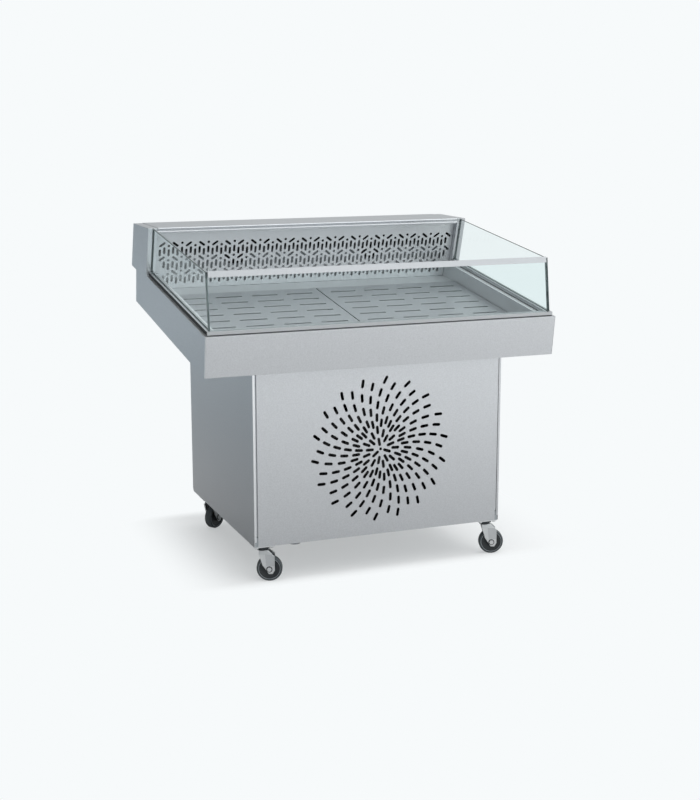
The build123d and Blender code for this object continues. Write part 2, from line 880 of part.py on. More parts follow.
# Thermostat and main switch on the staff side
bezel_t = 5
key_w = 9
key_h = 6
key_x = 32
key_s = 8
key_out = 1.5
rocker_w = 14
rocker_h = 24
rocker_x = -34
rocker_pin_r = 1.5
with BuildPart() as control_housing:
    with BuildSketch(lean_plane(rear_w + bezel_t)):
        with Locations((control_x, control_s)):
            RectangleRounded(control_w, control_h, 3)
    extrude(amount=bezel_t)
    with BuildSketch(lean_plane(rear_w)):
        with Locations((control_x, control_s)):
            Rectangle(control_w - 9, control_h - 9)
    extrude(amount=body_d)
    # Display window
    with BuildSketch(lean_plane(rear_w + bezel_t)):
        with Locations((control_x - 4, control_s + 5)):
            Rectangle(34, 16)
    extrude(amount=1, mode=Mode.SUBTRACT)
    # Key wells
    with BuildSketch(lean_plane(rear_w + bezel_t)):
        with Locations((control_x + key_x, control_s + key_s), (control_x + key_x, control_s - key_s)):
            Rectangle(key_w + 2 * free_gap, key_h + 2 * free_gap)
    extrude(amount=4, mode=Mode.SUBTRACT)
    # Rocker well
    with BuildSketch(lean_plane(rear_w + bezel_t)):
        with Locations((control_x + rocker_x, control_s)):
            Rectangle(rocker_w + 2 * free_gap, rocker_h + 2 * free_gap + 2)
    extrude(amount=14, mode=Mode.SUBTRACT)
    # Rocker pivot pin across the well
    with BuildSketch(Plane.YZ.offset(control_x + rocker_x - rocker_w / 2 - free_gap)):
        with Locations(lean_yz(rear_w + 1, control_s)):
            Circle(rocker_pin_r)
    extrude(amount=rocker_w + 2 * free_gap)
control_housing.part.label = "control_housing"
export_step(control_housing.part, "parts/control_housing.step")


def key(s):
    """One thermostat key: a cap on a stem that stops short of the well's floor."""
    with BuildPart() as made:
        with BuildSketch(lean_plane(rear_w + bezel_t + key_out)):
            with Locations((control_x + key_x, control_s + s)):
                Rectangle(key_w, key_h)
        extrude(amount=key_out + 2.2)
    return made


upper_key = key(key_s)
upper_key.part.label = "upper_key"
export_step(upper_key.part, "parts/upper_key.step")

lower_key = key(-key_s)
lower_key.part.label = "lower_key"
export_step(lower_key.part, "parts/lower_key.step")

rocker_tip = radians(8)
rocker_sit = lean - rocker_tip
rocker_plane = Plane(
    origin=(control_x + rocker_x - rocker_w / 2, *lean_yz(rear_w + 1, control_s)),
    x_dir=(0, cos(rocker_sit), sin(rocker_sit)),
    z_dir=(1, 0, 0),
)
with BuildPart() as switch_rocker:
    with BuildSketch(rocker_plane):
        with BuildLine():
            Polyline(
                (-4, -4),
                (-2, 1 - rocker_h / 2),
                (bezel_t + 1.5, -rocker_h / 2),
                (bezel_t, 0),
                (bezel_t + 1.5, rocker_h / 2),
                (-2, rocker_h / 2 - 1),
                (-4, 4),
                close=True,
            )
        make_face()
        Circle(rocker_pin_r + run_fit, mode=Mode.SUBTRACT)
    extrude(amount=rocker_w)
switch_rocker.part.label = "switch_rocker"
export_step(switch_rocker.part, "parts/switch_rocker.step")

# Cabinet: folded base pan
pan_x = cab_x - sheet
pan_front = cab_front + sheet
pan_rear = cab_rear - sheet
with BuildPart() as base_pan:
    with BuildSketch(Plane.XY.offset(cab_z)):
        with Locations((0, (pan_front + pan_rear) / 2)):
            Rectangle(2 * pan_x, pan_rear - pan_front)
    extrude(amount=pan_up)
    with BuildSketch(Plane.XY.offset(cab_z + pan_t)):
        with Locations((0, (pan_front + pan_rear) / 2)):
            Rectangle(2 * (pan_x - pan_t), pan_rear - pan_front - 2 * pan_t)
    extrude(amount=pan_up, mode=Mode.SUBTRACT)
    with BuildSketch(Plane.XY.offset(cab_z)):
        with Locations((drain_x, pipe_knee[0])):
            Circle(drain_r + pipe_t + 0.5)
    extrude(amount=pan_t, mode=Mode.SUBTRACT)
base_pan.part.label = "base_pan"
export_step(base_pan.part, "parts/base_pan.step")

# Welded frame: four angle posts under a ring that carries the leaning tub
post_x = pan_x - pan_t
post_front = pan_front + pan_t + front_fold
post_rear = pan_rear - pan_t
ring_front = (post_front - fascia_low[0]) / cos(tilt)
ring_rear = (post_rear - fascia_low[0]) / cos(tilt)
with BuildPart() as carcass_frame:
    with BuildSketch(Plane.XY.offset(cab_z + pan_t)):
        for x, y, ax, ay in (
            (-post_x, post_front, Align.MIN, Align.MIN),
            (post_x, post_front, Align.MAX, Align.MIN),
            (-post_x, post_rear, Align.MIN, Align.MAX),
            (post_x, post_rear, Align.MAX, Align.MAX),
        ):
            with Locations((x, y)):
                Rectangle(post_w, frame_t, align=(ax, ay))
                Rectangle(frame_t, post_w, align=(ax, ay))
    extrude(amount=rim_z - cab_z)
    with BuildSketch(deck_plane(-tub_h)):
        with Locations((0, tub_l / 2)):
            Rectangle(2 * case_w, 2 * tub_l)
    extrude(amount=case_h, mode=Mode.SUBTRACT)
    with BuildSketch(deck_plane(-tub_h)):
        with Locations((0, (ring_front + ring_rear) / 2)):
            Rectangle(2 * post_x, ring_rear - ring_front)
            Rectangle(2 * (post_x - post_w), ring_rear - ring_front - 2 * post_w, mode=Mode.SUBTRACT)
    extrude(amount=-frame_t)
    for x, r in line_passages:
        with BuildSketch(passage_plane(x)):
            Circle(r)
        extrude(amount=line_run, mode=Mode.SUBTRACT)
carcass_frame.part.label = "carcass_frame"
export_step(carcass_frame.part, "parts/carcass_frame.step")

# Side panels with a narrow return round the front corner
panel_low = cab_z
corner_r = 16

with BuildPart() as left_side_panel:
    with BuildSketch(Plane.YZ.offset(-cab_x)) as side_outline:
        with BuildLine():
            Polyline(
                (cab_front, panel_low),
                (cab_rear, panel_low),
                (cab_rear, tub_under(cab_rear)),
                (cab_front, tub_under(cab_front)),
                close=True,
            )
        make_face()
        fillet(side_outline.vertices().sort_by(Axis.Z)[:2].sort_by(Axis.Y)[0], radius=corner_r)
    extrude(amount=sheet)
    with BuildSketch(Plane.XZ.offset(-cab_front)):
        with BuildLine():
            Polyline(
                (-cab_x, panel_low + corner_r),
                (-cab_x + return_w, panel_low + corner_r),
                (-cab_x + return_w, tub_under(cab_front)),
                (-cab_x, tub_under(cab_front)),
                close=True,
            )
        make_face()
    extrude(amount=-sheet)
left_side_panel.part.label = "left_side_panel"
export_step(left_side_panel.part, "parts/left_side_panel.step")

with BuildPart() as right_side_panel:
    add(left_side_panel.part)
    mirror(about=Plane.YZ, mode=Mode.REPLACE)
right_side_panel.part.label = "right_side_panel"
export_step(right_side_panel.part, "parts/right_side_panel.step")

# Front panel: arms of slots that curl as they run outwards, drawn together as a spiral vent
front_x = cab_x - return_w - seam
front_top = tub_under(cab_front) - 1
spiral_z = (panel_low + front_top) / 2
spiral_r = (front_top - panel_low) / 2 - 56
slot_l = spiral_r * 0.114
slot_w = slot_l * 0.28
# Each family of arms: first and last slot as shares of the vent's radius, slots along the arm,
# arm directions in degrees
spiral_arms = (
    (0.105, 1, 6, range(100, 360, 120)),
    (0.166, 1, 6, (20, 60, 140, 180, 260, 300)),
    (0.228, 1, 5, range(0, 360, 40)),
    (0.379, 0.916, 4, range(10, 360, 20)),
)
curl_start = 2.5
curl_rate = -6.6
curl_growth = -10
spiral_slots = []
for first, last, count, directions in spiral_arms:
    for direction in directions:
        for i in range(count):
            share = first + (last - first) * i / (count - 1)
            a = direction + curl_start + curl_rate * share + curl_growth * share**2
            slot_lean = degrees(atan2(share * radians(curl_rate + 2 * curl_growth * share), 1))
            x = spiral_r * share * cos(radians(a))
            z = spiral_z + spiral_r * share * sin(radians(a))
            spiral_slots.append(Location((x, z, 0), (0, 0, a + slot_lean)))
with BuildPart() as front_panel:
    with BuildSketch(Plane.XZ.offset(-cab_front)):
        with Locations((0, panel_low)):
            Rectangle(2 * front_x, front_top - panel_low, align=(Align.CENTER, Align.MIN))
        with Locations(*spiral_slots):
            Polygon(*slot_outline(slot_l, slot_w), mode=Mode.SUBTRACT)
        with Locations((0, spiral_z)):
            RegularPolygon(slot_w / 2, 8, mode=Mode.SUBTRACT)
    extrude(amount=-sheet)
    # Folded edges run back on both sides
    for x in (-front_x, front_x - sheet):
        with BuildSketch(Plane.YZ.offset(x)):
            with BuildLine():
                Polyline(
                    (cab_front, panel_low + pan_up + 2),
                    (cab_front + front_fold, panel_low + pan_up + 2),
                    (cab_front + front_fold, front_top - 12),
                    (cab_front, front_top - 12),
                    close=True,
                )
            make_face()
        extrude(amount=sheet)
front_panel.part.label = "front_panel"
export_step(front_panel.part, "parts/front_panel.step")

# Rear panel with rows of long vent slots
rear_slot_l = cab_x - 156
rear_vent_z = panel_low + 135
rear_rows = 6
rear_h = tub_under(cab_rear - sheet) - panel_low - 1
with BuildPart() as rear_panel:
    with BuildSketch(Plane.XZ.offset(-cab_rear)):
        with Locations((0, panel_low)):
            Rectangle(2 * (cab_x - sheet), rear_h, align=(Align.CENTER, Align.MIN))
        with Locations((0, rear_vent_z)):
            with GridLocations(rear_slot_l + 50, 30, 2, rear_rows):
                Rectangle(rear_slot_l, 9, mode=Mode.SUBTRACT)
    extrude(amount=sheet)
rear_panel.part.label = "rear_panel"
export_step(rear_panel.part, "parts/rear_panel.step")

# Condensing unit on its own folded base
with BuildPart() as unit_base:
    with BuildSketch(Plane.XZ.offset(-unit_front)):
        with BuildLine():
            base_path = [(-unit_x, unit_z), (-unit_x, base_top), (unit_x, base_top), (unit_x, unit_z)]
            Polyline(*strip(base_path, -frame_t), close=True)
        make_face()
    extrude(amount=unit_front - unit_rear)
unit_base.part.label = "unit_base"
export_step(unit_base.part, "parts/unit_base.step")

with BuildPart() as compressor:
    with BuildSketch(Plane(origin=(comp_x, comp_y, base_top), x_dir=(1, 0, 0), z_dir=(0, -1, 0))):
        with BuildLine():
            Polyline(
                (0, 16),
                (comp_r - 14, 16),
                (comp_r, 40),
                (comp_r, comp_h - 60),
                (comp_r - 12, comp_h - 28),
                (comp_r - 38, comp_h - 7),
                (26, comp_h),
                (0, comp_h),
                close=True,
            )
        make_face()
    revolve(axis=Axis((comp_x, comp_y, 0), (0, 0, 1)))
    with BuildSketch(Plane.XY.offset(base_top + 10)):
        with Locations((comp_x, comp_y)):
            RectangleRounded(200, 140, 20)
    extrude(amount=7)
    with BuildSketch(Plane.XY.offset(base_top)):
        with Locations((comp_x, comp_y)):
            with GridLocations(168, 104, 2, 2):
                Circle(12)
    extrude(amount=10)
    # Terminal cover on the shell
    with BuildSketch(Plane.XY.offset(base_top + 70)):
        with Locations((comp_x + comp_r - 10, comp_y)):
            Rectangle(50, 70, align=(Align.MIN, Align.CENTER))
    extrude(amount=70)
compressor.part.label = "compressor"
export_step(compressor.part, "parts/compressor.step")

shroud_y = coil_front + coil_d + 12
cond_pitch = 14
cond_fins = int(2 * coil_x / cond_pitch) - 1
with BuildPart() as condenser_coil:
    with BuildSketch(Plane.XZ.offset(-coil_front)):
        with Locations((0, base_top)):
            Rectangle(2 * coil_x, coil_h, align=(Align.CENTER, Align.MIN))
    extrude(amount=-coil_d)
    with BuildSketch(Plane.XZ.offset(-coil_front)):
        with Locations((0, (base_top + 30 + coil_top) / 2)):
            with GridLocations(cond_pitch, 0, cond_fins, 1):
                Rectangle(cond_pitch - 3, coil_h - 40)
    extrude(amount=-8, mode=Mode.SUBTRACT)
condenser_coil.part.label = "condenser_coil"
export_step(condenser_coil.part, "parts/condenser_coil.step")

with BuildPart() as condenser_shroud:
    with BuildSketch(Plane.XZ.offset(-(coil_front + coil_d))):
        with Locations((0, base_top)):
            Rectangle(2 * coil_x, coil_h, align=(Align.CENTER, Align.MIN))
    extrude(amount=-12)
    with BuildSketch(Plane.XZ.offset(-(coil_front + coil_d))):
        with Locations((0, base_top + frame_t)):
            Rectangle(
                2 * (coil_x - frame_t), coil_h - 2 * frame_t, align=(Align.CENTER, Align.MIN)
            )
    extrude(amount=-(12 - frame_t), mode=Mode.SUBTRACT)
    with BuildSketch(Plane.XZ.offset(-shroud_y)):
        with Locations((0, fan_z)):
            Circle(fan_r + 10)
    extrude(amount=-22)
    with BuildSketch(Plane.XZ.offset(-shroud_y + frame_t)):
        with Locations((0, fan_z)):
            Circle(fan_r + 8)
    extrude(amount=-60, mode=Mode.SUBTRACT)
condenser_shroud.part.label = "condenser_shroud"
export_step(condenser_shroud.part, "parts/condenser_shroud.step")

fan_y = shroud_y + 4
fan_hub_d = 24
cond_motor_y = fan_y + fan_hub_d + 6
cond_motor_d = 62
with BuildPart() as condenser_fan_motor:
    with BuildSketch(Plane.XZ.offset(-cond_motor_y)):
        with Locations((0, fan_z)):
            Circle(42)
    extrude(amount=-cond_motor_d)
    with BuildSketch(Plane.XZ.offset(-cond_motor_y)):
        with Locations((0, fan_z)):
            Circle(shaft_r)
    extrude(amount=fan_hub_d + 6)
    # Strap bracket reaching forward to the shroud
    with BuildSketch(Plane.XZ.offset(-(cond_motor_y + cond_motor_d))):
        with Locations((0, fan_z)):
            Rectangle(2 * (fan_r + 30), 30)
    extrude(amount=-3)
    for x in (-fan_r - 30, fan_r + 27):
        with BuildSketch(Plane.YZ.offset(x)):
            with Locations(((shroud_y + cond_motor_y + cond_motor_d + 3) / 2, fan_z)):
                Rectangle(cond_motor_y + cond_motor_d + 3 - shroud_y, 30)
        extrude(amount=3)
condenser_fan_motor.part.label = "condenser_fan_motor"
export_step(condenser_fan_motor.part, "parts/condenser_fan_motor.step")

with BuildPart() as condenser_fan:
    with BuildSketch(Plane.XZ.offset(-fan_y)):
        with Locations((0, fan_z)):
            Circle(28)
            Circle(shaft_r + run_fit, mode=Mode.SUBTRACT)
    extrude(amount=-fan_hub_d)
    hub_plane = Plane(origin=(0, fan_y + fan_hub_d / 2, fan_z), x_dir=(1, 0, 0), z_dir=(0, -1, 0))
    for k in range(4):
        with BuildSketch(blade_plane(hub_plane, 90 * k, 24)):
            with BuildLine():
                Polyline(
                    (24, -14), (fan_r - 10, -36), (fan_r - 2, -10), (fan_r - 14, 30), (24, 12), close=True
                )
            make_face()
        extrude(amount=1, both=True)
condenser_fan.part.label = "condenser_fan"
export_step(condenser_fan.part, "parts/condenser_fan.step")

# Electrical box open at its foot
box_w = 130
box_d = 180
box_h = 150
box_spot = (cab_x - 95, (cab_front + cab_rear) / 2)
with BuildPart() as electrical_box:
    with BuildSketch(Plane.XY.offset(unit_z)):
        with Locations(box_spot):
            Rectangle(box_w, box_d)
    extrude(amount=box_h)
    with BuildSketch(Plane.XY.offset(unit_z)):
        with Locations(box_spot):
            Rectangle(box_w - 2 * thin, box_d - 2 * thin)
    extrude(amount=box_h - thin, mode=Mode.SUBTRACT)
electrical_box.part.label = "electrical_box"
export_step(electrical_box.part, "parts/electrical_box.step")

# Refrigerant lines
comp_top = base_top + comp_h
evap_mid_s = -110
line_end = lean_yz(coil_w, evap_mid_s)
line_turn = lean_yz(line_w, evap_mid_s)
with BuildPart() as suction_line:
    with BuildLine():
        FilletPolyline(
            (comp_x - 12, comp_y, comp_top),
            (comp_x - 12, comp_y, comp_top + 60),
            (line_x, line_low[0], comp_top + 180),
            (line_x, *line_low),
            (line_x, *line_high),
            (line_x, *line_turn),
            (line_x, *line_end),
            radius=14,
        )
    with BuildSketch(Plane.XY.offset(comp_top)):
        with Locations((comp_x - 12, comp_y)):
            Circle(suction_r)
    sweep()
suction_line.part.label = "suction_line"
export_step(suction_line.part, "parts/suction_line.step")

liquid_x = line_x + line_gap
liquid_z = base_top + 66
liquid_y = coil_front + coil_d - 12
drier_z = liquid_z + 70
with BuildPart() as liquid_line:
    with BuildLine():
        FilletPolyline(
            (-coil_x, liquid_y, liquid_z),
            (liquid_x, liquid_y, liquid_z),
            (liquid_x, line_low[0], liquid_z),
            (liquid_x, *line_low),
            (liquid_x, *line_high),
            (liquid_x, *line_turn),
            (liquid_x, *line_end),
            radius=12,
        )
    with BuildSketch(Plane.YZ.offset(-coil_x)):
        with Locations((liquid_y, liquid_z)):
            Circle(liquid_r)
    sweep()
liquid_line.part.label = "liquid_line"
export_step(liquid_line.part, "parts/liquid_line.step")

discharge_z = coil_top - 90
with BuildPart() as discharge_line:
    with BuildLine():
        FilletPolyline(
            (comp_x + 12, comp_y, comp_top),
            (comp_x + 12, comp_y, discharge_z),
            (coil_x + 45, coil_front + coil_d / 2, discharge_z),
            (coil_x, coil_front + coil_d / 2, discharge_z),
            radius=14,
        )
    with BuildSketch(Plane.XY.offset(comp_top)):
        with Locations((comp_x + 12, comp_y)):
            Circle(liquid_r)
    sweep()
discharge_line.part.label = "discharge_line"
export_step(discharge_line.part, "parts/discharge_line.step")

with BuildPart() as filter_drier:
    with BuildSketch(Plane(origin=(liquid_x, line_low[0], drier_z), x_dir=(1, 0, 0), z_dir=(0, -1, 0))):
        with BuildLine():
            Polyline(
                (liquid_r, 0),
                (liquid_r + 3, 0),
                (14, 18),
                (14, 92),
                (liquid_r + 3, 110),
                (liquid_r, 110),
                close=True,
            )
        make_face()
    revolve(axis=Axis((liquid_x, line_low[0], 0), (0, 0, 1)))
filter_drier.part.label = "filter_drier"
export_step(filter_drier.part, "parts/filter_drier.step")

# Casters: plate, raceway, cup and king pin stay with the cabinet; fork swivels; wheel turns on the axle
casters = {
    "front_left": (-caster_x, front_caster_y, -21),
    "front_right": (caster_x, front_caster_y, -19),
    "rear_left": (-caster_x, rear_caster_y, 36),
    "rear_right": (caster_x, rear_caster_y, 24),
}
race_z = cab_z - plate_t
cup_z = race_z - race_h
crown_z = cup_z - cup_h
pin_head_h = 4
with BuildPart() as caster_plates:
    spots = [(x, y) for x, y, heading in casters.values()]
    with BuildSketch(Plane.XY.offset(race_z)):
        with Locations(*spots):
            Rectangle(plate_w, plate_d)
    extrude(amount=plate_t)
    with BuildSketch(Plane.XY.offset(cup_z)):
        with Locations(*spots):
            Circle(race_r)
    extrude(amount=race_h)
    with BuildSketch(Plane.XY.offset(crown_z)):
        with Locations(*spots):
            Circle(cup_r)
    extrude(amount=cup_h)
    with BuildSketch(Plane.XY.offset(crown_z - fork_t)):
        with Locations(*spots):
            Circle(pin_r)
    extrude(amount=fork_t)
    with BuildSketch(Plane.XY.offset(crown_z - fork_t - pin_head_h)):
        with Locations(*spots):
            Circle(pin_r + 2)
    extrude(amount=pin_head_h)
caster_plates.part.label = "caster_plates"
export_step(caster_plates.part, "parts/caster_plates.step")


def caster_frame(spot):
    """Plane at the swivel axis on the floor, x along the trail."""
    x, y, heading = spot
    return Plane(origin=(x, y, 0), x_dir=(cos(radians(heading)), sin(radians(heading)), 0), z_dir=(0, 0, 1))


def axle_plane(spot, reach):
    """Plane across the axle, reach to the side of the wheel's middle; x along the trail, y up."""
    base = caster_frame(spot)
    side = base.y_dir
    return Plane(origin=base.origin - side * reach, x_dir=base.x_dir, z_dir=-side)


def fork(spot):
    """Pressed fork: crown, sloping shoulders and tapering legs, with the riveted axle."""
    base = caster_frame(spot)
    across = Plane(origin=base.origin - base.x_dir * 40, x_dir=base.y_dir, z_dir=base.x_dir)
    shoulder = 11
    fork_low = wheel_r - 15
    with BuildPart() as made:
        with BuildSketch(across):
            with BuildLine():
                Polyline(
                    *strip(
                        [
                            (fork_half, fork_low - 1),
                            (fork_half, crown_z - shoulder),
                            (fork_half - 6, crown_z),
                            (6 - fork_half, crown_z),
                            (-fork_half, crown_z - shoulder),
                            (-fork_half, fork_low - 1),
                        ],
                        fork_t,
                    ),
                    close=True,
                )
            make_face()
        extrude(amount=120)
        with BuildSketch(axle_plane(spot, 60)):
            with BuildLine():
                Polyline(
                    (-pin_r - 4, crown_z + 1),
                    (-pin_r - 4, crown_z - shoulder),
                    (trail - 21, wheel_r + 14),
                    (trail - 2, fork_low),
                    (trail + 10, fork_low),
                    (trail + 17, wheel_r - 4),
                    (trail + 17, crown_z - 18),
                    (trail - 4, crown_z + 1),
                    close=True,
                )
            make_face()
        extrude(amount=-120, mode=Mode.INTERSECT)
        with BuildSketch(base.offset(crown_z + 1)):
            Circle(pin_r + run_fit)
        extrude(amount=-10, mode=Mode.SUBTRACT)
        with BuildSketch(axle_plane(spot, fork_half)):
            with Locations((trail, wheel_r)):
                Circle(axle_r)
        extrude(amount=-2 * fork_half)
        for reach, depth in ((fork_half, 4), (-fork_half, -4)):
            with BuildSketch(axle_plane(spot, reach)):
                with Locations((trail, wheel_r)):
                    RegularPolygon(7.5, 6)
            extrude(amount=depth)
    return made


def wheel(spot):
    """Wheel body: hub and rim web, bored for the axle."""
    base = caster_frame(spot)
    middle = Plane(origin=base.origin + base.x_dir * trail, x_dir=base.y_dir, z_dir=base.x_dir)
    half_hub = hub_w / 2
    half_rim = tyre_w / 2 - 2
    with BuildPart() as made:
        with BuildSketch(middle):
            with BuildLine():
                Polyline(
                    (-half_hub, wheel_r + axle_r + run_fit),
                    (-half_hub, wheel_r + 11),
                    (-6, wheel_r + 13),
                    (-half_rim, wheel_r + rim_r - 3),
                    (-half_rim, wheel_r + rim_r),
                    (half_rim, wheel_r + rim_r),
                    (half_rim, wheel_r + rim_r - 3),
                    (6, wheel_r + 13),
                    (half_hub, wheel_r + 11),
                    (half_hub, wheel_r + axle_r + run_fit),
                    close=True,
                )
            make_face()
        centre = base.origin + base.x_dir * trail + Vector(0, 0, wheel_r)
        revolve(axis=Axis(centre, base.y_dir))
    return made


def tyre(spot):
    """Rubber tyre with sloping shoulders."""
    base = caster_frame(spot)
    middle = Plane(origin=base.origin + base.x_dir * trail, x_dir=base.y_dir, z_dir=base.x_dir)
    half = tyre_w / 2
    tread = half - 5
    with BuildPart() as made:
        with BuildSketch(middle):
            with BuildLine():
                Polyline(
                    (-tread, 2 * wheel_r),
                    (-half, 2 * wheel_r - 3),
                    (-half, wheel_r + rim_r),
                    (half, wheel_r + rim_r),
                    (half, 2 * wheel_r - 3),
                    (tread, 2 * wheel_r),
                    close=True,
                )
            make_face()
        centre = base.origin + base.x_dir * trail + Vector(0, 0, wheel_r)
        revolve(axis=Axis(centre, base.y_dir))
    return made


for corner, spot in casters.items():
    for kind, maker in (("fork", fork), ("wheel", wheel), ("tyre", tyre)):
        made = maker(spot)
        made.part.label = f"{corner}_{kind}"
        export_step(made.part, f"parts/{corner}_{kind}.step")
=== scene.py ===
import json
from math import atan2, cos, pi, radians, sin, tan

import bmesh
import bpy
from mathutils import Matrix, Vector


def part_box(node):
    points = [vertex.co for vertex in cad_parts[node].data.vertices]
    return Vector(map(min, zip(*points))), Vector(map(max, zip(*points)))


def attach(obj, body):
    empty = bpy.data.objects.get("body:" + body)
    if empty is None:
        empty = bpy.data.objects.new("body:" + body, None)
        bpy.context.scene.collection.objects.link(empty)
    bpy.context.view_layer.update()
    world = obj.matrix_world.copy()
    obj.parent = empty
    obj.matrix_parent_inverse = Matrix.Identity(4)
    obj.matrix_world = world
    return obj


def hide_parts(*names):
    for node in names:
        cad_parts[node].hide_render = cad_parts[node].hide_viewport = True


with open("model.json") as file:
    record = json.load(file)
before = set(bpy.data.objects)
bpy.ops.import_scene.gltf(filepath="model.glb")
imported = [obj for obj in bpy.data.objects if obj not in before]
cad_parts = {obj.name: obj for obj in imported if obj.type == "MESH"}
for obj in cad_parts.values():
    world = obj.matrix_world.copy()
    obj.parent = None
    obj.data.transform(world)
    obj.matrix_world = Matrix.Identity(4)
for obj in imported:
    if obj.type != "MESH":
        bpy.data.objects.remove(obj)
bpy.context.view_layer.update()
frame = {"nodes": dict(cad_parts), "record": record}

MM = 0.001

# Lines of the case, as in the solids: tilt of the deck, lean of back unit and front pane, height
# of the sill, front edges, top of the end caps, half widths of caps, basin and air panel's foot, and sheet
TILT = radians(8)
LEAN = radians(17)
PANE_LEAN = radians(7.6)
RIM_Z = 786 * MM
FRONT_Y = -460 * MM
TOP_FRONT_Y = 201.5 * MM
CAP_Z = 1047 * MM
CAP_X = 545 * MM
BASIN_X = 530 * MM
FOOT_X = 529 * MM
SHEET = 1.5 * MM


# Colours and materials
def linear(hex_colour):
    """Linear RGBA of an sRGB hex colour."""
    values = [int(hex_colour[i : i + 2], 16) / 255 for i in (0, 2, 4)]
    return [v / 12.92 if v <= 0.04045 else ((v + 0.055) / 1.055) ** 2.4 for v in values] + [1.0]


# Colour sockets of a Mix node: first colour, second colour, result
MIX_A, MIX_B, MIX_RESULT = 6, 7, 2
# Specks in the finishes: real ones are under 1 mm and are drawn coarser, so that they show
SPECK = 4 * MM


def add_node(tree, kind, inputs=None, **settings):
    """A shader node with its settings and input values or links."""
    node = tree.nodes.new(kind)
    for key, value in settings.items():
        setattr(node, key, value)
    for key, value in (inputs or {}).items():
        if isinstance(value, bpy.types.NodeSocket):
            tree.links.new(value, node.inputs[key])
        else:
            node.inputs[key].default_value = value
    return node


def new_material(name, hex_colour, metallic, roughness, **more):
    """Material with a Principled shader; returns it with its node tree and shader."""
    made = bpy.data.materials.new(name)
    made.use_nodes = True
    tree = made.node_tree
    shader = tree.nodes["Principled BSDF"]
    shader.inputs["Base Color"].default_value = linear(hex_colour)
    shader.inputs["Metallic"].default_value = metallic
    shader.inputs["Roughness"].default_value = roughness
    for key, value in more.items():
        shader.inputs[key].default_value = value
    return made, tree, shader


def grained(name, hex_colour, metallic, roughness, grain, spread, depth, mottle=0.03, **more):
    """Material with a grain of the given sizes in mm along x, y and z.

    The grain moves roughness by spread and height by depth, and fine specks move the colour by mottle.
    """
    made, tree, shader = new_material(name, hex_colour, metallic, roughness, **more)
    place = add_node(tree, "ShaderNodeTexCoord")
    stretch = add_node(
        tree,
        "ShaderNodeMapping",
        {"Vector": place.outputs["Object"], "Scale": [1 / (size * MM) for size in grain]},
    )
    noise = add_node(
        tree,
        "ShaderNodeTexNoise",
        {"Vector": stretch.outputs["Vector"], "Scale": 1.0, "Detail": 3.0, "Roughness": 0.6},
    )
    rough = add_node(
        tree,
        "ShaderNodeMapRange",
        {"Value": noise.outputs["Fac"], "To Min": roughness - spread, "To Max": roughness + spread},
    )
    tree.links.new(rough.outputs["Result"], shader.inputs["Roughness"])
    bump = add_node(
        tree,
        "ShaderNodeBump",
        {"Height": noise.outputs["Fac"], "Strength": 0.3, "Distance": depth},
    )
    tree.links.new(bump.outputs["Normal"], shader.inputs["Normal"])
    specks = add_node(
        tree, "ShaderNodeTexNoise", {"Vector": place.outputs["Object"], "Scale": 1 / SPECK, "Detail": 2.0}
    )
    red, green, blue, alpha = linear(hex_colour)
    darker, lighter = 1 - mottle, 1 + mottle
    shade = add_node(
        tree,
        "ShaderNodeMix",
        {
            "Factor": specks.outputs["Fac"],
            MIX_A: (red * darker, green * darker, blue * darker, alpha),
            MIX_B: (red * lighter, green * lighter, blue * lighter, alpha),
        },
        data_type="RGBA",
    )
    tree.links.new(shade.outputs[MIX_RESULT], shader.inputs["Base Color"])
    return made


# Stainless sheet, belt brushed: level lines on upright faces soften what it mirrors into grey. The real
# lines are about 0.2 mm apart and are drawn coarser, so that they show
BRUSHED = {"spread": 0.05, "depth": 0.02 * MM, "mottle": 0.14}
stainless_upright = grained("brushed_stainless", "c6c9cc", 0.9, 0.36, (160, 160, 1.1), **BRUSHED)
# The same sheet on flat faces, with its lines along the case
stainless_level = grained("brushed_stainless_level", "c6c9cc", 0.9, 0.36, (160, 1.1, 1.1), **BRUSHED)
# Stainless folds, brighter than the sheet: a painted highlight in narrow strips on the left panels
stainless_painted_highlight = grained("stainless_fold_painted_highlight", "e3e6e8", 0.9, 0.3, (160, 160, 1.1), 0.04, 0.01 * MM)
# Bright annealed stainless of the basin and air panel: paler and softer than the brushed outside
stainless_basin = grained("annealed_stainless", "d9dcde", 0.75, 0.5, (160, 1.1, 1.1), 0.04, 0.01 * MM)
# Extruded aluminium, satin anodised, on the band along the front pane: pale and even, with faint die lines
band_aluminium = grained("band_aluminium", "c9cccf", 0.8, 0.42, (125, 1.4, 1.4), 0.04, 0.01 * MM)
# The same on the rail round the foot of the panes, a little greyer as painted shade
rail_aluminium_painted_shade = grained("rail_aluminium_painted_shade", "bbbec0", 0.8, 0.42, (125, 1.4, 1.4), 0.04, 0.01 * MM)
# Mill-finish aluminium of the coil's fins: bright but without sharp reflections
fin_aluminium = grained("fin_aluminium", "b9bdc0", 0.8, 0.5, (3.3, 25, 25), 0.05, 0.02 * MM)
# Hot-dip galvanised sheet: dull grey with a faint spangle
galvanised = grained("galvanised_steel", "a9afb3", 0.75, 0.5, (17, 17, 17), 0.1, 0.01 * MM)
# Bright zinc plate on pressed steel: clean, slightly wavy reflections
zinc = grained("zinc_plate", "e2e5e6", 0.95, 0.3, (25, 25, 25), 0.04, 0.004 * MM)
# The same on one side of the creases in the forks, darker and rougher as painted shade, so that the crease
# shows
zinc_painted_shade = grained("zinc_plate_painted_shade", "d0d3d5", 0.9, 0.42, (25, 25, 25), 0.04, 0.004 * MM)
# Dark steel of raceways and washers, with a grey sheen; on the raceways the dark colour is painted shade
# under the plates
dark_steel_and_painted_shade = grained("steel_dark_and_painted_shade", "3b3f42", 0.6, 0.42, (5, 5, 5), 0.05, 0.01 * MM)
# Moulded nitrile rubber of the seals: matt black
black_rubber = grained("black_rubber", "1c1d1f", 0.0, 0.6, (2.5, 2.5, 2.5), 0.08, 0.05 * MM)
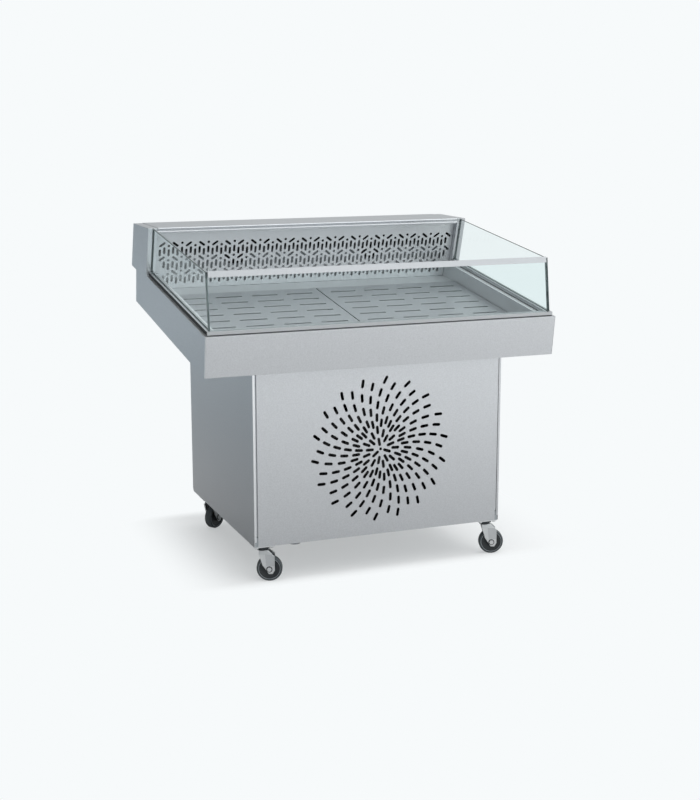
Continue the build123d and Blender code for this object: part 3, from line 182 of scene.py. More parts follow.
# Tread rubber: dark grey and dusty
tyre_rubber = grained("tyre_rubber", "474d50", 0.0, 0.62, (4, 4, 4), 0.08, 0.08 * MM)
# Moulded polypropylene of the wheel centres: near black with a soft sheen
wheel_plastic = grained("wheel_plastic", "2c3134", 0.0, 0.5, (3.3, 3.3, 3.3), 0.06, 0.05 * MM)
# Moulded ABS of controls and fans: black with a fine spark-eroded texture
black_plastic = grained("black_plastic", "202124", 0.0, 0.48, (2, 2, 2), 0.06, 0.03 * MM)
# Moulded ABS of keys and rocker: dark grey, told apart from the housing
key_plastic = grained("key_plastic", "4a4e52", 0.0, 0.42, (2, 2, 2), 0.06, 0.03 * MM)
# Grey PVC of drain and electrical box: even and softly glossy
grey_plastic = grained("grey_plastic", "8d9194", 0.0, 0.5, (3.3, 3.3, 3.3), 0.06, 0.03 * MM)
# Enamelled steel of compressor, motors and condenser: black with a slight orange peel
black_enamel = grained("black_enamel", "1b1c1e", 0.0, 0.35, (5, 5, 5), 0.05, 0.03 * MM)
# Dead black on the inner faces of the side panels: painted shade, so that the inside of the case stays
# dark
dead_black_painted_shade = grained("inner_face_painted_shade", "17181a", 0.0, 0.9, (6, 6, 6), 0.05, 0.2 * MM)
# Drawn copper tube: reddish and slightly streaky
copper = grained("copper_tube", "b87350", 0.9, 0.35, (5, 5, 5), 0.06, 0.02 * MM)
# Polyurethane foam: cream, open and dull
foam = grained("foam", "dccfa2", 0.0, 0.9, (6.7, 6.7, 6.7), 0.05, 0.3 * MM)
# Tinted acrylic of the display window: near black, smooth and glossy
tinted_acrylic = grained("tinted_acrylic", "101214", 0.0, 0.12, (8, 8, 8), 0.03, 0.002 * MM)
# Red diodes behind the window: bars that glow by themselves
RED_GLOW = {"Emission Color": linear("ff2a18"), "Emission Strength": 1.5}
red_diodes = grained("red_diodes", "b3160f", 0.0, 0.4, (2, 2, 2), 0.05, 0.01 * MM, **RED_GLOW)
# Toughened float glass: thin and clear, with a faint green-blue body and a mirror at low angles
glass, glass_tree, glass_shader = new_material("toughened_glass", "eef4f5", 1.0, 0.0)
clear = add_node(glass_tree, "ShaderNodeBsdfTransparent", {"Color": linear("fafdfd")})
mirror = add_node(glass_tree, "ShaderNodeLayerWeight", {"Blend": 0.016})
pane = add_node(
    glass_tree,
    "ShaderNodeMixShader",
    {0: mirror.outputs["Facing"], 1: clear.outputs["BSDF"], 2: glass_shader.outputs["BSDF"]},
)
glass_tree.links.new(pane.outputs["Shader"], glass_tree.nodes["Material Output"].inputs["Surface"])
# Ground edges of the panes: grey upright; on the top edges nearly black, as painted shade
glass_edge = grained("glass_edge", "7d8889", 0.0, 0.45, (3.3, 3.3, 3.3), 0.05, 0.02 * MM)
glass_top_edge_painted_shade = grained("glass_top_edge_painted_shade", "273032", 0.0, 0.5, (3.3, 3.3, 3.3), 0.05, 0.02 * MM)
# Ground top edge of the left pane: painted shade as on the other top edges, but paler, as in the
# photograph
glass_fine_edge = grained("glass_fine_edge", "4a5456", 0.0, 0.45, (3.3, 3.3, 3.3), 0.05, 0.02 * MM)
# Grey silicone in the joints between panes: smooth and slightly glossy
silicone = grained("silicone", "6b7576", 0.0, 0.4, (3.3, 3.3, 3.3), 0.05, 0.02 * MM)

# Fan plate: bare zinc sheet where it meets the coil, black above as painted shade, with a soft border
# between
PAINTED_SHADE_LOW = 935 * MM
PAINTED_SHADE_HIGH = 965 * MM
BARE_ZINC = "b4babd"
PAINTED_SHADE_BLACK = "141517"
fan_sheet_painted_shade, fan_tree, fan_shader = new_material("zinc_sheet_painted_shade", BARE_ZINC, 0.3, 0.5)
fan_place = add_node(fan_tree, "ShaderNodeTexCoord")
fan_height = add_node(fan_tree, "ShaderNodeSeparateXYZ", {"Vector": fan_place.outputs["Object"]})
painted = add_node(
    fan_tree,
    "ShaderNodeMapRange",
    {"Value": fan_height.outputs["Z"], "From Min": PAINTED_SHADE_LOW, "From Max": PAINTED_SHADE_HIGH},
)
fan_shade_colour = add_node(
    fan_tree,
    "ShaderNodeMix",
    {"Factor": painted.outputs["Result"], MIX_A: linear(BARE_ZINC), MIX_B: linear(PAINTED_SHADE_BLACK)},
    data_type="RGBA",
)
fan_tree.links.new(fan_shade_colour.outputs[MIX_RESULT], fan_shader.inputs["Base Color"])

# Finish of each material slot in the record
finish = {
    "brushed_stainless": stainless_upright,
    "satin_aluminium": rail_aluminium_painted_shade,
    "toughened_glass": glass,
    "black_rubber": black_rubber,
    "foam": foam,
    "copper": copper,
    "fin_aluminium": fin_aluminium,
    "black_paint": black_enamel,
    "plastic": black_plastic,
    "grey_plastic": grey_plastic,
    "galvanised_steel": galvanised,
    "zinc_steel": zinc,
    "wheel_plastic": wheel_plastic,
    "tyre_rubber": tyre_rubber,
}
# Flat sheets, brushed along the case
level_sheets = {"top_cover", "left_deck_tray", "right_deck_tray"}
slot_of = {entry["node"]: entry["material_slot"] for entry in frame["record"]["subparts"]}


def dress(obj, chosen):
    """One material on the whole object."""
    obj.data.materials.clear()
    obj.data.materials.append(chosen)


def soften(obj, width):
    """Small rounded edges, as folded and sheared metal has."""
    weld = obj.modifiers.new("joined", "WELD")
    weld.merge_threshold = 0.01 * MM
    bevel = obj.modifiers.new("soft_edges", "BEVEL")
    bevel.width = width
    bevel.segments = 2
    bevel.limit_method = "ANGLE"
    bevel.angle_limit = radians(35)
    weighted = obj.modifiers.new("flat_faces", "WEIGHTED_NORMAL")
    weighted.weight = 100
    weighted.keep_sharp = True


for name, node in frame["nodes"].items():
    dress(node, stainless_level if name in level_sheets else finish[slot_of[name]])
    node.data.polygons.foreach_set("use_smooth", [True] * len(node.data.polygons))
    node.data.set_sharp_from_angle(angle=radians(28))

# Least part of a face's normal along a direction for it to count as facing that way
FACING = 0.9
FACING_LEANT = 0.85
FACING_UP = 0.5
pane_facing = {
    "front_glass": Vector((0, -cos(PANE_LEAN), sin(PANE_LEAN))),
    "left_glass": Vector((1, 0, 0)),
    "right_glass": Vector((1, 0, 0)),
}
for name, facing in pane_facing.items():
    pane_mesh = frame["nodes"][name].data
    pane_mesh.materials.append(glass_edge)
    pane_mesh.materials.append(glass_fine_edge if name == "left_glass" else glass_top_edge_painted_shade)
    for face in pane_mesh.polygons:
        # Faces keep the glass, upright edges the grey, and top edges the painted shade
        edge_kind = 2 if face.normal.z > FACING_UP else 1
        face.material_index = 0 if abs(face.normal.dot(facing)) > FACING else edge_kind

dress(frame["nodes"]["fan_plate"], fan_sheet_painted_shade)
dress(frame["nodes"]["front_top_profile"], band_aluminium)
dress(frame["nodes"]["glass_joints"], silicone)
dress(frame["nodes"]["tub_liner"], stainless_basin)
for name in ("upper_key", "lower_key", "switch_rocker"):
    dress(frame["nodes"][name], key_plastic)

# The seal runs up the outer sides of the glass rail
rail_mesh = frame["nodes"]["glass_rail"].data
rail_mesh.materials.append(black_rubber)
RAIL_SKIN = 1 * MM
rail_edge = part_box("glass_rail")[1].x - RAIL_SKIN
for face in rail_mesh.polygons:
    face.material_index = int(abs(face.normal.x) > FACING and abs(face.center.x) > rail_edge)

# Folded sheets with soft edges, and a painted highlight on the folds where the left ones face the front
SHEET_EDGE = 0.6 * MM
FORK_EDGE = 0.8 * MM
for name in ("left_end_panel", "right_end_panel", "tub_shell", "top_cover", "rear_cover"):
    soften(frame["nodes"][name], SHEET_EDGE)
end_mesh = frame["nodes"]["left_end_panel"].data
end_mesh.materials.append(stainless_painted_highlight)
for face in end_mesh.polygons:
    face.material_index = int(face.normal.y < -FACING_LEANT)
for name in ("left_side_panel", "right_side_panel"):
    soften(frame["nodes"][name], SHEET_EDGE)
    panel_mesh = frame["nodes"][name].data
    panel_mesh.materials.append(stainless_painted_highlight if name.startswith("left") else stainless_upright)
    # Inner faces of the side panels take dead black as painted shade
    panel_mesh.materials.append(dead_black_painted_shade)
    inward = 1 if name.startswith("left") else -1
    for face in panel_mesh.polygons:
        to_front = int(face.normal.y < -FACING)
        face.material_index = 2 if face.normal.x * inward > FACING else to_front
for name in frame["nodes"]:
    if name.endswith("_fork"):
        soften(frame["nodes"][name], FORK_EDGE)


# Perforated sheets with round-ended slots
def slot_ring(centre, length, width, angle, steps=6):
    """Outline of a round-ended slot in a sheet's own plane."""
    radius = width / 2
    reach = length / 2 - radius
    ring = []
    for end, start in ((1, -pi / 2), (-1, pi / 2)):
        for i in range(steps + 1):
            a = start + pi * i / steps
            x, y = end * reach + radius * cos(a), radius * sin(a)
            ring.append(
                (centre[0] + x * cos(angle) - y * sin(angle), centre[1] + x * sin(angle) + y * cos(angle))
            )
    return ring


def hole_ring(centre, diameter, steps=16):
    """Outline of a round hole in a sheet's own plane."""
    turn = 2 * pi / steps
    r = diameter / 2
    return [(centre[0] + r * cos(turn * i), centre[1] + r * sin(turn * i)) for i in range(steps)]


def sheet_mesh(name, outline, holes, thickness):
    """Flat sheet in its own XY plane, front face at z = 0 and body below it."""
    curve = bpy.data.curves.new(name + "_cut", "CURVE")
    curve.dimensions = "2D"
    curve.fill_mode = "BOTH"
    curve.extrude = thickness / 2
    for ring in [outline] + holes:
        spline = curve.splines.new("POLY")
        spline.points.add(len(ring) - 1)
        spline.use_cyclic_u = True
        for point, (x, y) in zip(spline.points, ring):
            point.co = (x, y, 0, 1)
    cut = bpy.data.objects.new(name + "_cut", curve)
    bpy.context.scene.collection.objects.link(cut)
    mesh = bpy.data.meshes.new_from_object(cut.evaluated_get(bpy.context.evaluated_depsgraph_get()))
    bpy.data.objects.remove(cut)
    mesh.transform(Matrix.Translation((0, 0, -thickness / 2)))
    return mesh


def add_box(mesh, low, high):
    """Adds a plain box to a mesh, for a folded edge."""
    first = len(mesh.vertices)
    corners = [(x, y, z) for x in (low[0], high[0]) for y in (low[1], high[1]) for z in (low[2], high[2])]
    sides = ((0, 1, 3, 2), (4, 6, 7, 5), (0, 4, 5, 1), (2, 3, 7, 6), (0, 2, 6, 4), (1, 5, 7, 3))
    points = [v.co[:] for v in mesh.vertices] + corners
    faces = [tuple(p.vertices) for p in mesh.polygons] + [tuple(first + i for i in side) for side in sides]
    whole = bpy.data.meshes.new(mesh.name)
    whole.from_pydata(points, [], faces)
    return whole


def place_sheet(name, mesh, matrix, chosen, stands_for, body):
    """Puts a sheet in its place on a body, instead of the solid it stands for."""
    work = bmesh.new()
    work.from_mesh(mesh)
    bmesh.ops.beautify_fill(work, faces=work.faces, edges=work.edges)
    work.to_mesh(mesh)
    work.free()
    mesh.transform(matrix)
    mesh.polygons.foreach_set("use_smooth", [True] * len(mesh.polygons))
    mesh.set_sharp_from_angle(angle=radians(40))
    obj = bpy.data.objects.new(name, mesh)
    bpy.context.scene.collection.objects.link(obj)
    dress(obj, chosen)
    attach(obj, body)
    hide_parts(stands_for)


def rectangle(low, high):
    """Outline of a rectangle between two corners."""
    return [(low[0], low[1]), (high[0], low[1]), (high[0], high[1]), (low[0], high[1])]


def axes_matrix(origin, x_dir, y_dir):
    """Matrix whose first two columns are the sheet's own axes."""
    x_dir, y_dir = Vector(x_dir), Vector(y_dir)
    z_dir = x_dir.cross(y_dir)
    rows = [(*row, place) for row, place in zip(zip(x_dir, y_dir, z_dir), origin)]
    return Matrix(rows + [(0, 0, 0, 1)])


# Front panel with its spiral vent, folds behind its sides and seam strips beside it
panel_low, panel_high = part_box("front_panel")
VENT_MARGIN = 56 * MM
SPIRAL_Z = (panel_low.z + panel_high.z) / 2
SPIRAL_R = (panel_high.z - panel_low.z) / 2 - VENT_MARGIN
# Length of a slot as a share of the vent's radius, and width as a share of the length
SLOT_SHARE = 0.127
SLOT_SLIM = 0.345
SLOT_L = SPIRAL_R * SLOT_SHARE
SLOT_W = SLOT_L * SLOT_SLIM
# Depth of the folds, how far they stop from the panel's foot and head, then width and depths of the seams
FOLD = 18 * MM
FOLD_FOOT = 32 * MM
FOLD_HEAD = 12 * MM
SEAM = 4.4 * MM
SEAM_DEEP = 5 * MM
SEAM_SHALLOW = 1.8 * MM
# First and last slot as shares of the vent's radius, slots along the arm, arm directions in degrees
SPIRAL_ARMS = (
    (0.105, 1, 6, range(100, 360, 120)),
    (0.166, 1, 6, (20, 60, 140, 180, 260, 300)),
    (0.228, 1, 5, range(0, 360, 40)),
    (0.379, 0.916, 4, range(10, 360, 20)),
)
# Curl of an arm in degrees: at the middle, then per radius and per radius squared
CURL_START = 2.5
CURL_RATE = -6.6
CURL_GROWTH = -10
vents = [hole_ring((0, SPIRAL_Z), SLOT_W)]
for first, last, count, arms in SPIRAL_ARMS:
    for arm in arms:
        for i in range(count):
            share = first + (last - first) * i / (count - 1)
            a = radians(arm + CURL_START + CURL_RATE * share + CURL_GROWTH * share**2)
            slot_lean = atan2(share * radians(CURL_RATE + 2 * CURL_GROWTH * share), 1)
            centre = (SPIRAL_R * share * cos(a), SPIRAL_Z + SPIRAL_R * share * sin(a))
            vents.append(slot_ring(centre, SLOT_L, SLOT_W, a + slot_lean))
front_outline = rectangle((panel_low.x, panel_low.z), (panel_high.x, panel_high.z))
front = sheet_mesh("front", front_outline, vents, SHEET)
fold_low, fold_high = panel_low.z + FOLD_FOOT, panel_high.z - FOLD_HEAD
for x in (panel_low.x, panel_high.x - SHEET):
    front = add_box(front, (x, fold_low, -FOLD), (x + SHEET, fold_high, -SHEET))
for x, deep in ((panel_low.x - SEAM, SEAM_DEEP), (panel_high.x, SEAM_SHALLOW)):
    front = add_box(front, (x, fold_low, -deep - SHEET), (x + SEAM, fold_high, -deep))
place_sheet(
    "vented_front",
    front,
    axes_matrix((0, panel_low.y, 0), (1, 0, 0), (0, 0, 1)),
    stainless_upright,
    "front_panel",
    "case",
)

# Air panel with zigzag rows and staggered upright slots. One period of a row holds two leaning slots, two
# holes and two sets of upright slots, and there are AIR_SIDE periods on each side of the middle one
AIR_PERIOD = 91 * MM
AIR_ROW = 50.6 * MM
AIR_FIRST = -69 * MM
AIR_SHIFT = 4 * MM
AIR_SLOT_L = 25 * MM
AIR_SLOT_W = 8 * MM
AIR_HOLE = 9 * MM
ZIGZAG = radians(37)
DOT_UP = 4.8 * MM
DOT_DOWN = 5.6 * MM
UPRIGHT_HIGH = 21.5 * MM
UPRIGHT_LOW = 29 * MM
UPRIGHTS = 3
AIR_ROWS = 3
AIR_SIDE = 6
AIR_EDGE = 16 * MM
# The panel stands back from the back unit's front face. It has a fold along its top and a narrower foot
PANEL_SET = 22 * MM
PANEL_TOP = -25 * MM
PANEL_BACK = 60 * MM
# The fold stops just short of the ends
FOLD_SHORT = 0.5 * MM
DECK_GAP = 1 * MM
LEDGE_DEEP = 55 * MM
air_low, air_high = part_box("air_panel")


def lean_yz(w, s):
    """Y and Z of a point w behind the back unit's front face and s up along it."""
    return (TOP_FRONT_Y + w * cos(LEAN) - s * sin(LEAN), CAP_Z + w * sin(LEAN) + s * cos(LEAN))


def foot_s(w, n):
    """How far along the lean a plane w behind the front face meets deck height n."""
    y, z = lean_yz(w, 0)
    above = -(y - FRONT_Y) * sin(TILT) + (z - RIM_Z) * cos(TILT)
    return (n - above) / cos(LEAN - TILT)


deck_s = foot_s(PANEL_SET, 0)


def clear_of_edge(x, s):
    """Whether a slot stays inside the panel, which is narrower below the deck."""
    side = CAP_X if s - AIR_SLOT_L > deck_s else BASIN_X
    return abs(x) < side - AIR_EDGE


air_holes = []
for row in range(AIR_ROWS):
    s0 = AIR_FIRST - row * AIR_ROW
    for k in range(-AIR_SIDE, AIR_SIDE + 1):
        x0 = AIR_SHIFT + k * AIR_PERIOD
        cuts = [
            (x0 - AIR_PERIOD / 4, s0, -ZIGZAG),
            (x0 + AIR_PERIOD / 4, s0, ZIGZAG),
        ]
        for j in range(UPRIGHTS):
            cuts.append((x0 + (j - 1) * AIR_PERIOD / UPRIGHTS, s0 - UPRIGHT_HIGH, pi / 2))
            cuts.append((x0 + (j - 0.5) * AIR_PERIOD / UPRIGHTS, s0 - UPRIGHT_LOW, pi / 2))
        for x, s, a in cuts:
            if clear_of_edge(x, s):
                air_holes.append(slot_ring((x, s), AIR_SLOT_L, AIR_SLOT_W, a))
        dots = [(x0, s0 + DOT_UP), (x0 + AIR_PERIOD / 2, s0 - DOT_DOWN)]
        air_holes += [hole_ring(dot, AIR_HOLE, steps=12) for dot in dots if clear_of_edge(*dot)]
step_s = foot_s(PANEL_SET, DECK_GAP)
ledge_s = foot_s(PANEL_SET, -LEDGE_DEEP)
air_outline = [
    (air_low.x, PANEL_TOP),
    (air_low.x, step_s),
    (-FOOT_X, step_s),
    (-FOOT_X, ledge_s),
    (FOOT_X, ledge_s),
    (FOOT_X, step_s),
    (air_high.x, step_s),
    (air_high.x, PANEL_TOP),
]
air = sheet_mesh("air", air_outline, air_holes, SHEET)
air = add_box(
    air,
    (air_low.x + FOLD_SHORT, PANEL_TOP - SHEET, PANEL_SET - PANEL_BACK),
    (air_high.x - FOLD_SHORT, PANEL_TOP, -SHEET),
)
place_sheet(
    "slotted_air_panel",
    air,
    axes_matrix((0, *lean_yz(PANEL_SET, 0)), (1, 0, 0), (0, -sin(LEAN), cos(LEAN))),
    stainless_basin,
    "air_panel",
    "case",
)


# Small fittings. A solid one keeps a bore that is too thin to see
CORE = 0.1 * MM


def turned(profile, centre, axis, steps=48):
    """Mesh of a closed profile of (radius, distance along the axis) turned about an axis."""
    axis = Vector(axis).normalized()
    across = axis.orthogonal().normalized()
    up = axis.cross(across)
    points = []
    for i in range(steps):
        a = 2 * pi * i / steps
        out = across * cos(a) + up * sin(a)
        points += [Vector(centre) + out * r + axis * d for r, d in profile]
    n = len(profile)
    faces = []
    for i in range(steps):
        for j in range(n):
            k, m = (i + 1) % steps * n, (j + 1) % n
            faces.append((i * n + j, k + j, k + m, i * n + m))
    mesh = bpy.data.meshes.new("turned")
    mesh.from_pydata(points, [], faces)
    return mesh


def joined(name, meshes):
    """One mesh out of several."""
    points, faces = [], []
    for mesh in meshes:
        first = len(points)
        points += [v.co[:] for v in mesh.vertices]
        faces += [tuple(first + i for i in p.vertices) for p in mesh.polygons]
    whole = bpy.data.meshes.new(name)
    whole.from_pydata(points, [], faces)
    return whole


def small_piece(name, mesh, chosen, body):
    """Small fitting that rides on a body, with its normals made consistent."""
    work = bmesh.new()
    work.from_mesh(mesh)
    bmesh.ops.recalc_face_normals(work, faces=work.faces)
    work.to_mesh(mesh)
    work.free()
    mesh.polygons.foreach_set("use_smooth", [True] * len(mesh.polygons))
    mesh.set_sharp_from_angle(angle=radians(30))
    obj = bpy.data.objects.new(name, mesh)
    bpy.context.scene.collection.objects.link(obj)
    dress(obj, chosen)
    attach(obj, body)
    return obj


def hex_head(place, axis, across, height):
    """Hexagon bolt head with a chamfered crown, standing on a face."""
    r = across / 2 / cos(pi / 6)
    crown_r, crown_foot = r * 0.86, height * 0.8
    profile = [(CORE, 0), (r, 0), (r, crown_foot), (crown_r, height), (CORE, height)]
    return turned(profile, place, axis, steps=6)


# Rounded nose along the front edge of the top cover
NOSE_R = 2.8 * MM
NOSE_S = -2.6 * MM
NOSE_STEPS = 12
NOSE_SHORT = 3 * MM
nose_x = CAP_X - NOSE_SHORT
nose_points = []
for x in (-nose_x, nose_x):
    for i in range(NOSE_STEPS):
        a = 2 * pi * i / NOSE_STEPS
        nose_points.append((x, *lean_yz(NOSE_R * cos(a), NOSE_S + NOSE_R * sin(a))))
nose_faces = [tuple(range(NOSE_STEPS)), tuple(range(NOSE_STEPS, 2 * NOSE_STEPS))]
for i in range(NOSE_STEPS):
    k = (i + 1) % NOSE_STEPS
    nose_faces.append((i, k, NOSE_STEPS + k, NOSE_STEPS + i))
nose = bpy.data.meshes.new("nose")
nose.from_pydata(nose_points, [], nose_faces)
small_piece("cover_nose", nose, stainless_level, "case")

# Caster details: pressed fields on the fork legs, beads on the rims, axle washers and plate bolts
RIM_R = 34 * MM
RIM_HALF = 11 * MM
BEAD_W = 1.6 * MM
BEAD_H = 1.2 * MM
BEAD_CROWN = 1.2 * BEAD_H
FORK_HALF = 19 * MM
WASHER_R = 9.6 * MM
WASHER_T = 0.8 * MM
BOLT_HOLE = 5.2 * MM
PLATE_BOLT = (24 * MM, 21 * MM)
PLATE_T = 3 * MM
BOLT_ACROSS = 10 * MM
BOLT_H = 4.5 * MM
# Pressed field on a fork's leg in mm, as distance along the trail and height, and the ends of its crease
LEG_OUTLINE = (
    (-9.5, 88.5),
    (9, 88.5),
    (31.3, 88.5),
    (38.6, 81.8),
    (38.6, 51),
    (13, 51),
    (3.2, 51),
    (1.3, 54),
)
LEG_CREASE = (1, 5)
LEG_PROUD = 2.2 * MM
LEG_DISH = 0.3 * MM
# Face of a pressed field on the far side of its crease, which takes the painted shade
FAR_FACE = 2


def pressed_leg(foot, trail, outward):
    """Dished field on the outside of a fork's leg, with a crease down its middle."""
    inner, outer = [], []
    for i, (along, height) in enumerate(LEG_OUTLINE):
        spot = foot + trail * along * MM + Vector((0, 0, height * MM)) + outward * FORK_HALF
        inner.append(spot)
        outer.append(spot + outward * (LEG_DISH if i in LEG_CREASE else LEG_PROUD))
    n = len(LEG_OUTLINE)
    first, last = LEG_CREASE
    left = [n + i for i in (*range(last, n), *range(first + 1))]
    right = [n + i for i in range(first, last + 1)]
    faces = [tuple(range(n)), tuple(left), tuple(right)]
    faces += [(i, (i + 1) % n, n + (i + 1) % n, n + i) for i in range(n)]
    mesh = bpy.data.meshes.new("pressed_leg")
    mesh.from_pydata(inner + outer, [], faces)
    return mesh


joint_of = {entry["name"]: entry for entry in frame["record"]["behaviour"]["joints"]}
plate_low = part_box("base_pan")[0].z - PLATE_T
for corner in ("front_left", "front_right", "rear_left", "rear_right"):
    hub = joint_of[corner + "_wheel_roll"]
    axle = Vector(hub["axis"])
    beads, washers, bolts = [], [], []
    for side_of in (1, -1):
        outward = axle * side_of
        bead = [
            (RIM_R - BEAD_W, RIM_HALF),
            (RIM_R, RIM_HALF),
            (RIM_R, RIM_HALF + BEAD_H),
            (RIM_R - BEAD_W / 2, RIM_HALF + BEAD_CROWN),
            (RIM_R - BEAD_W, RIM_HALF + BEAD_H),
        ]
        beads.append(turned(bead, hub["pos_m"], outward))
        washer = [
            (BOLT_HOLE, FORK_HALF),
            (WASHER_R, FORK_HALF),
            (WASHER_R, FORK_HALF + WASHER_T),
            (BOLT_HOLE, FORK_HALF + WASHER_T),
        ]
        washers.append(turned(washer, hub["pos_m"], outward))
    pivot = joint_of[corner + "_swivel_turn"]["pos_m"]
    for dx in (-1, 1):
        for dy in (-1, 1):
            place = (pivot[0] + dx * PLATE_BOLT[0], pivot[1] + dy * PLATE_BOLT[1], plate_low)
            bolts.append(hex_head(place, (0, 0, -1), BOLT_ACROSS, BOLT_H))
    foot = Vector((pivot[0], pivot[1], 0))
    trail = Vector((0, 0, 1)).cross(axle)
    trail = trail if trail.dot(Vector(hub["pos_m"]) - Vector(pivot)) > 0 else -trail
    pressings = [pressed_leg(foot, trail, axle * side_of) for side_of in (1, -1)]
    swivel, roller = corner + "_swivel", corner + "_roller"
    legs = small_piece(corner + "_leg_pressings", joined("legs", pressings), zinc, swivel)
    legs.data.materials.append(zinc_painted_shade)
    for i in range(len(pressings)):
        first_face = i * len(legs.data.polygons) // len(pressings)
        legs.data.polygons[first_face + FAR_FACE].material_index = 1
    small_piece(corner + "_rim_beads", joined("beads", beads), galvanised, roller)
    small_piece(corner + "_axle_washers", joined("washers", washers), dark_steel_and_painted_shade, swivel)
    small_piece(corner + "_plate_bolts", joined("bolts", bolts), zinc, "case")

# Raceways, the part of the plates' solid that hangs below them, in dark steel as painted shade
RACE_BELOW = 0.1 * MM
plates = frame["nodes"]["caster_plates"].data
plates.materials.append(dark_steel_and_painted_shade)
for face in plates.polygons:
    face.material_index = int(face.center.z < plate_low - RACE_BELOW)

# Staff side: display with its readout, and panel screws
REAR_W = (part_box("top_cover")[1].y - TOP_FRONT_Y) * cos(LEAN)
BEZEL = 5 * MM
CONTROL_X = 488 * MM
CONTROL_DOWN = 50 * MM
CONTROL_S = -REAR_W * tan(LEAN) - CONTROL_DOWN
WINDOW = (34 * MM, 16 * MM)
WINDOW_SHIFT = (-4 * MM, 5 * MM)
WINDOW_DEEP = 1 * MM
FILM = 0.2 * MM
DIGIT = (5 * MM, 9 * MM)
STROKE = 1 * MM
DIGIT_STEP = 8 * MM
# Bars of a seven-bar figure: middle and size as shares of its width and height
BARS = {
    "top": ((0, 0.5), (0.7, 0)),
    "middle": ((0, 0), (0.7, 0)),
    "bottom": ((0, -0.5), (0.7, 0)),
    "upper_left": ((-0.5, 0.25), (0, 0.36)),
    "upper_right": ((0.5, 0.25), (0, 0.36)),
    "lower_left": ((-0.5, -0.25), (0, 0.36)),
    "lower_right": ((0.5, -0.25), (0, 0.36)),
}
FIGURES = {
    "0": ("top", "bottom", "upper_left", "upper_right", "lower_left", "lower_right"),
    "5": ("top", "middle", "bottom", "upper_left", "lower_right"),
}


def leaning_box(x, s, size, w_low, w_high):
    """Box mesh on the back unit's lean, centred at x and s, from w_low to w_high behind the front face."""
    mesh = add_box(
        bpy.data.meshes.new("leaning"),
        (x - size[0] / 2, s - size[1] / 2, w_low),
        (x + size[0] / 2, s + size[1] / 2, w_high),
    )
    for vertex in mesh.vertices:
        along, up, back = vertex.co
        vertex.co = (along, *lean_yz(back, up))
    return mesh


window_x, window_s = CONTROL_X + WINDOW_SHIFT[0], CONTROL_S + WINDOW_SHIFT[1]
window_w = REAR_W + BEZEL - WINDOW_DEEP
small_piece(
    "display_window",
    leaning_box(window_x, window_s, (WINDOW[0] - FILM, WINDOW[1] - FILM), window_w, window_w + FILM),
    tinted_acrylic,
    "case",
)
readout = []
for turn, figure in ((-1, "0"), (1, "5")):
    # The display faces the staff, so its figures run towards -x
    figure_x = window_x - turn * DIGIT_STEP / 2
    for bar in FIGURES[figure]:
        (mid_x, mid_s), (wide, tall) = BARS[bar]
        size = (max(wide * DIGIT[0], STROKE), max(tall * DIGIT[1], STROKE))
        spot_x, spot_s = figure_x - mid_x * DIGIT[0], window_s + mid_s * DIGIT[1]
        readout.append(leaning_box(spot_x, spot_s, size, window_w + FILM, window_w + 2 * FILM))
readout.append(
    leaning_box(window_x, window_s - DIGIT[1] / 2, (STROKE, STROKE), window_w + FILM, window_w + 2 * FILM)
)
small_piece("readout", joined("readout", readout), red_diodes, "case")

# Screw with a round head and a socket in mm, as radius and height
SCREW = ((0.1, 0.7), (1.5, 0.7), (1.7, 2.0), (3.2, 1.7), (4.2, 0.7), (4.2, 0), (0.1, 0))
screw_profile = [(r * MM, d * MM) for r, d in SCREW]
SCREW_EDGE = 15 * MM
SCREW_FOOT = 26 * MM
SCREW_HEAD = 104 * MM
rear_low, rear_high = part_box("rear_panel")
screws = []
for x in (rear_low.x + SCREW_EDGE, rear_high.x - SCREW_EDGE):
    for z in (rear_low.z + SCREW_FOOT, (rear_low.z + rear_high.z) / 2, rear_high.z - SCREW_HEAD):
        screws.append(turned(screw_profile, (x, rear_high.y, z), (0, 1, 0), steps=24))
small_piece("rear_panel_screws", joined("screws", screws), zinc, "case")

# Studio, in metres: pale floor, soft lights and a white surround that darkens towards the left
SURROUND = "f7fafb"
FLOOR_HALF = 30
FLOOR_PALE = "f3f3f3"
# Shadow under the case: middle, half size, sharpness along each axis, width of its fade, least white
SHADOW_MIDDLE = (0.06, 0, 0)
SHADOW_HALF = (0.45, 0.365, 0)
SHADOW_EDGE = (1, 3, 1)
SHADOW_FADE = 0.27
SHADOW_WHITE = 0.46
# Floor as metal mirrors it, with painted shade: shade between two squared distances, and a darker shade
# towards the left between two places along x
NEAR_SQUARED, FAR_SQUARED = 0.8, 27.0
NEAR_SHADE, FAR_SHADE = 0.58, 1.95
LEFT_SHADE_X, RIGHT_SHADE_X = -1.1, -0.5
LEFT_PAINTED_SHADE, RIGHT_PAINTED_SHADE = "abb4ba", "fffefe"
floor_mesh = bpy.data.meshes.new("floor")
floor_mesh.from_pydata(
    [(x, y, 0) for x, y in rectangle((-FLOOR_HALF, -FLOOR_HALF), (FLOOR_HALF, FLOOR_HALF))],
    [],
    [(0, 1, 2, 3)],
)
floor = bpy.data.objects.new("floor", floor_mesh)
bpy.context.scene.collection.objects.link(floor)
# Matt floor paint: pale and even, white to the eye except for the soft shadow under the case
floor_paint, floor_tree, floor_shader = new_material("matt_floor_paint", FLOOR_PALE, 0.0, 0.8)
floor_rays = add_node(floor_tree, "ShaderNodeLightPath")
floor_place = add_node(floor_tree, "ShaderNodeTexCoord")
floor_xyz = add_node(floor_tree, "ShaderNodeSeparateXYZ", {"Vector": floor_place.outputs["Object"]})
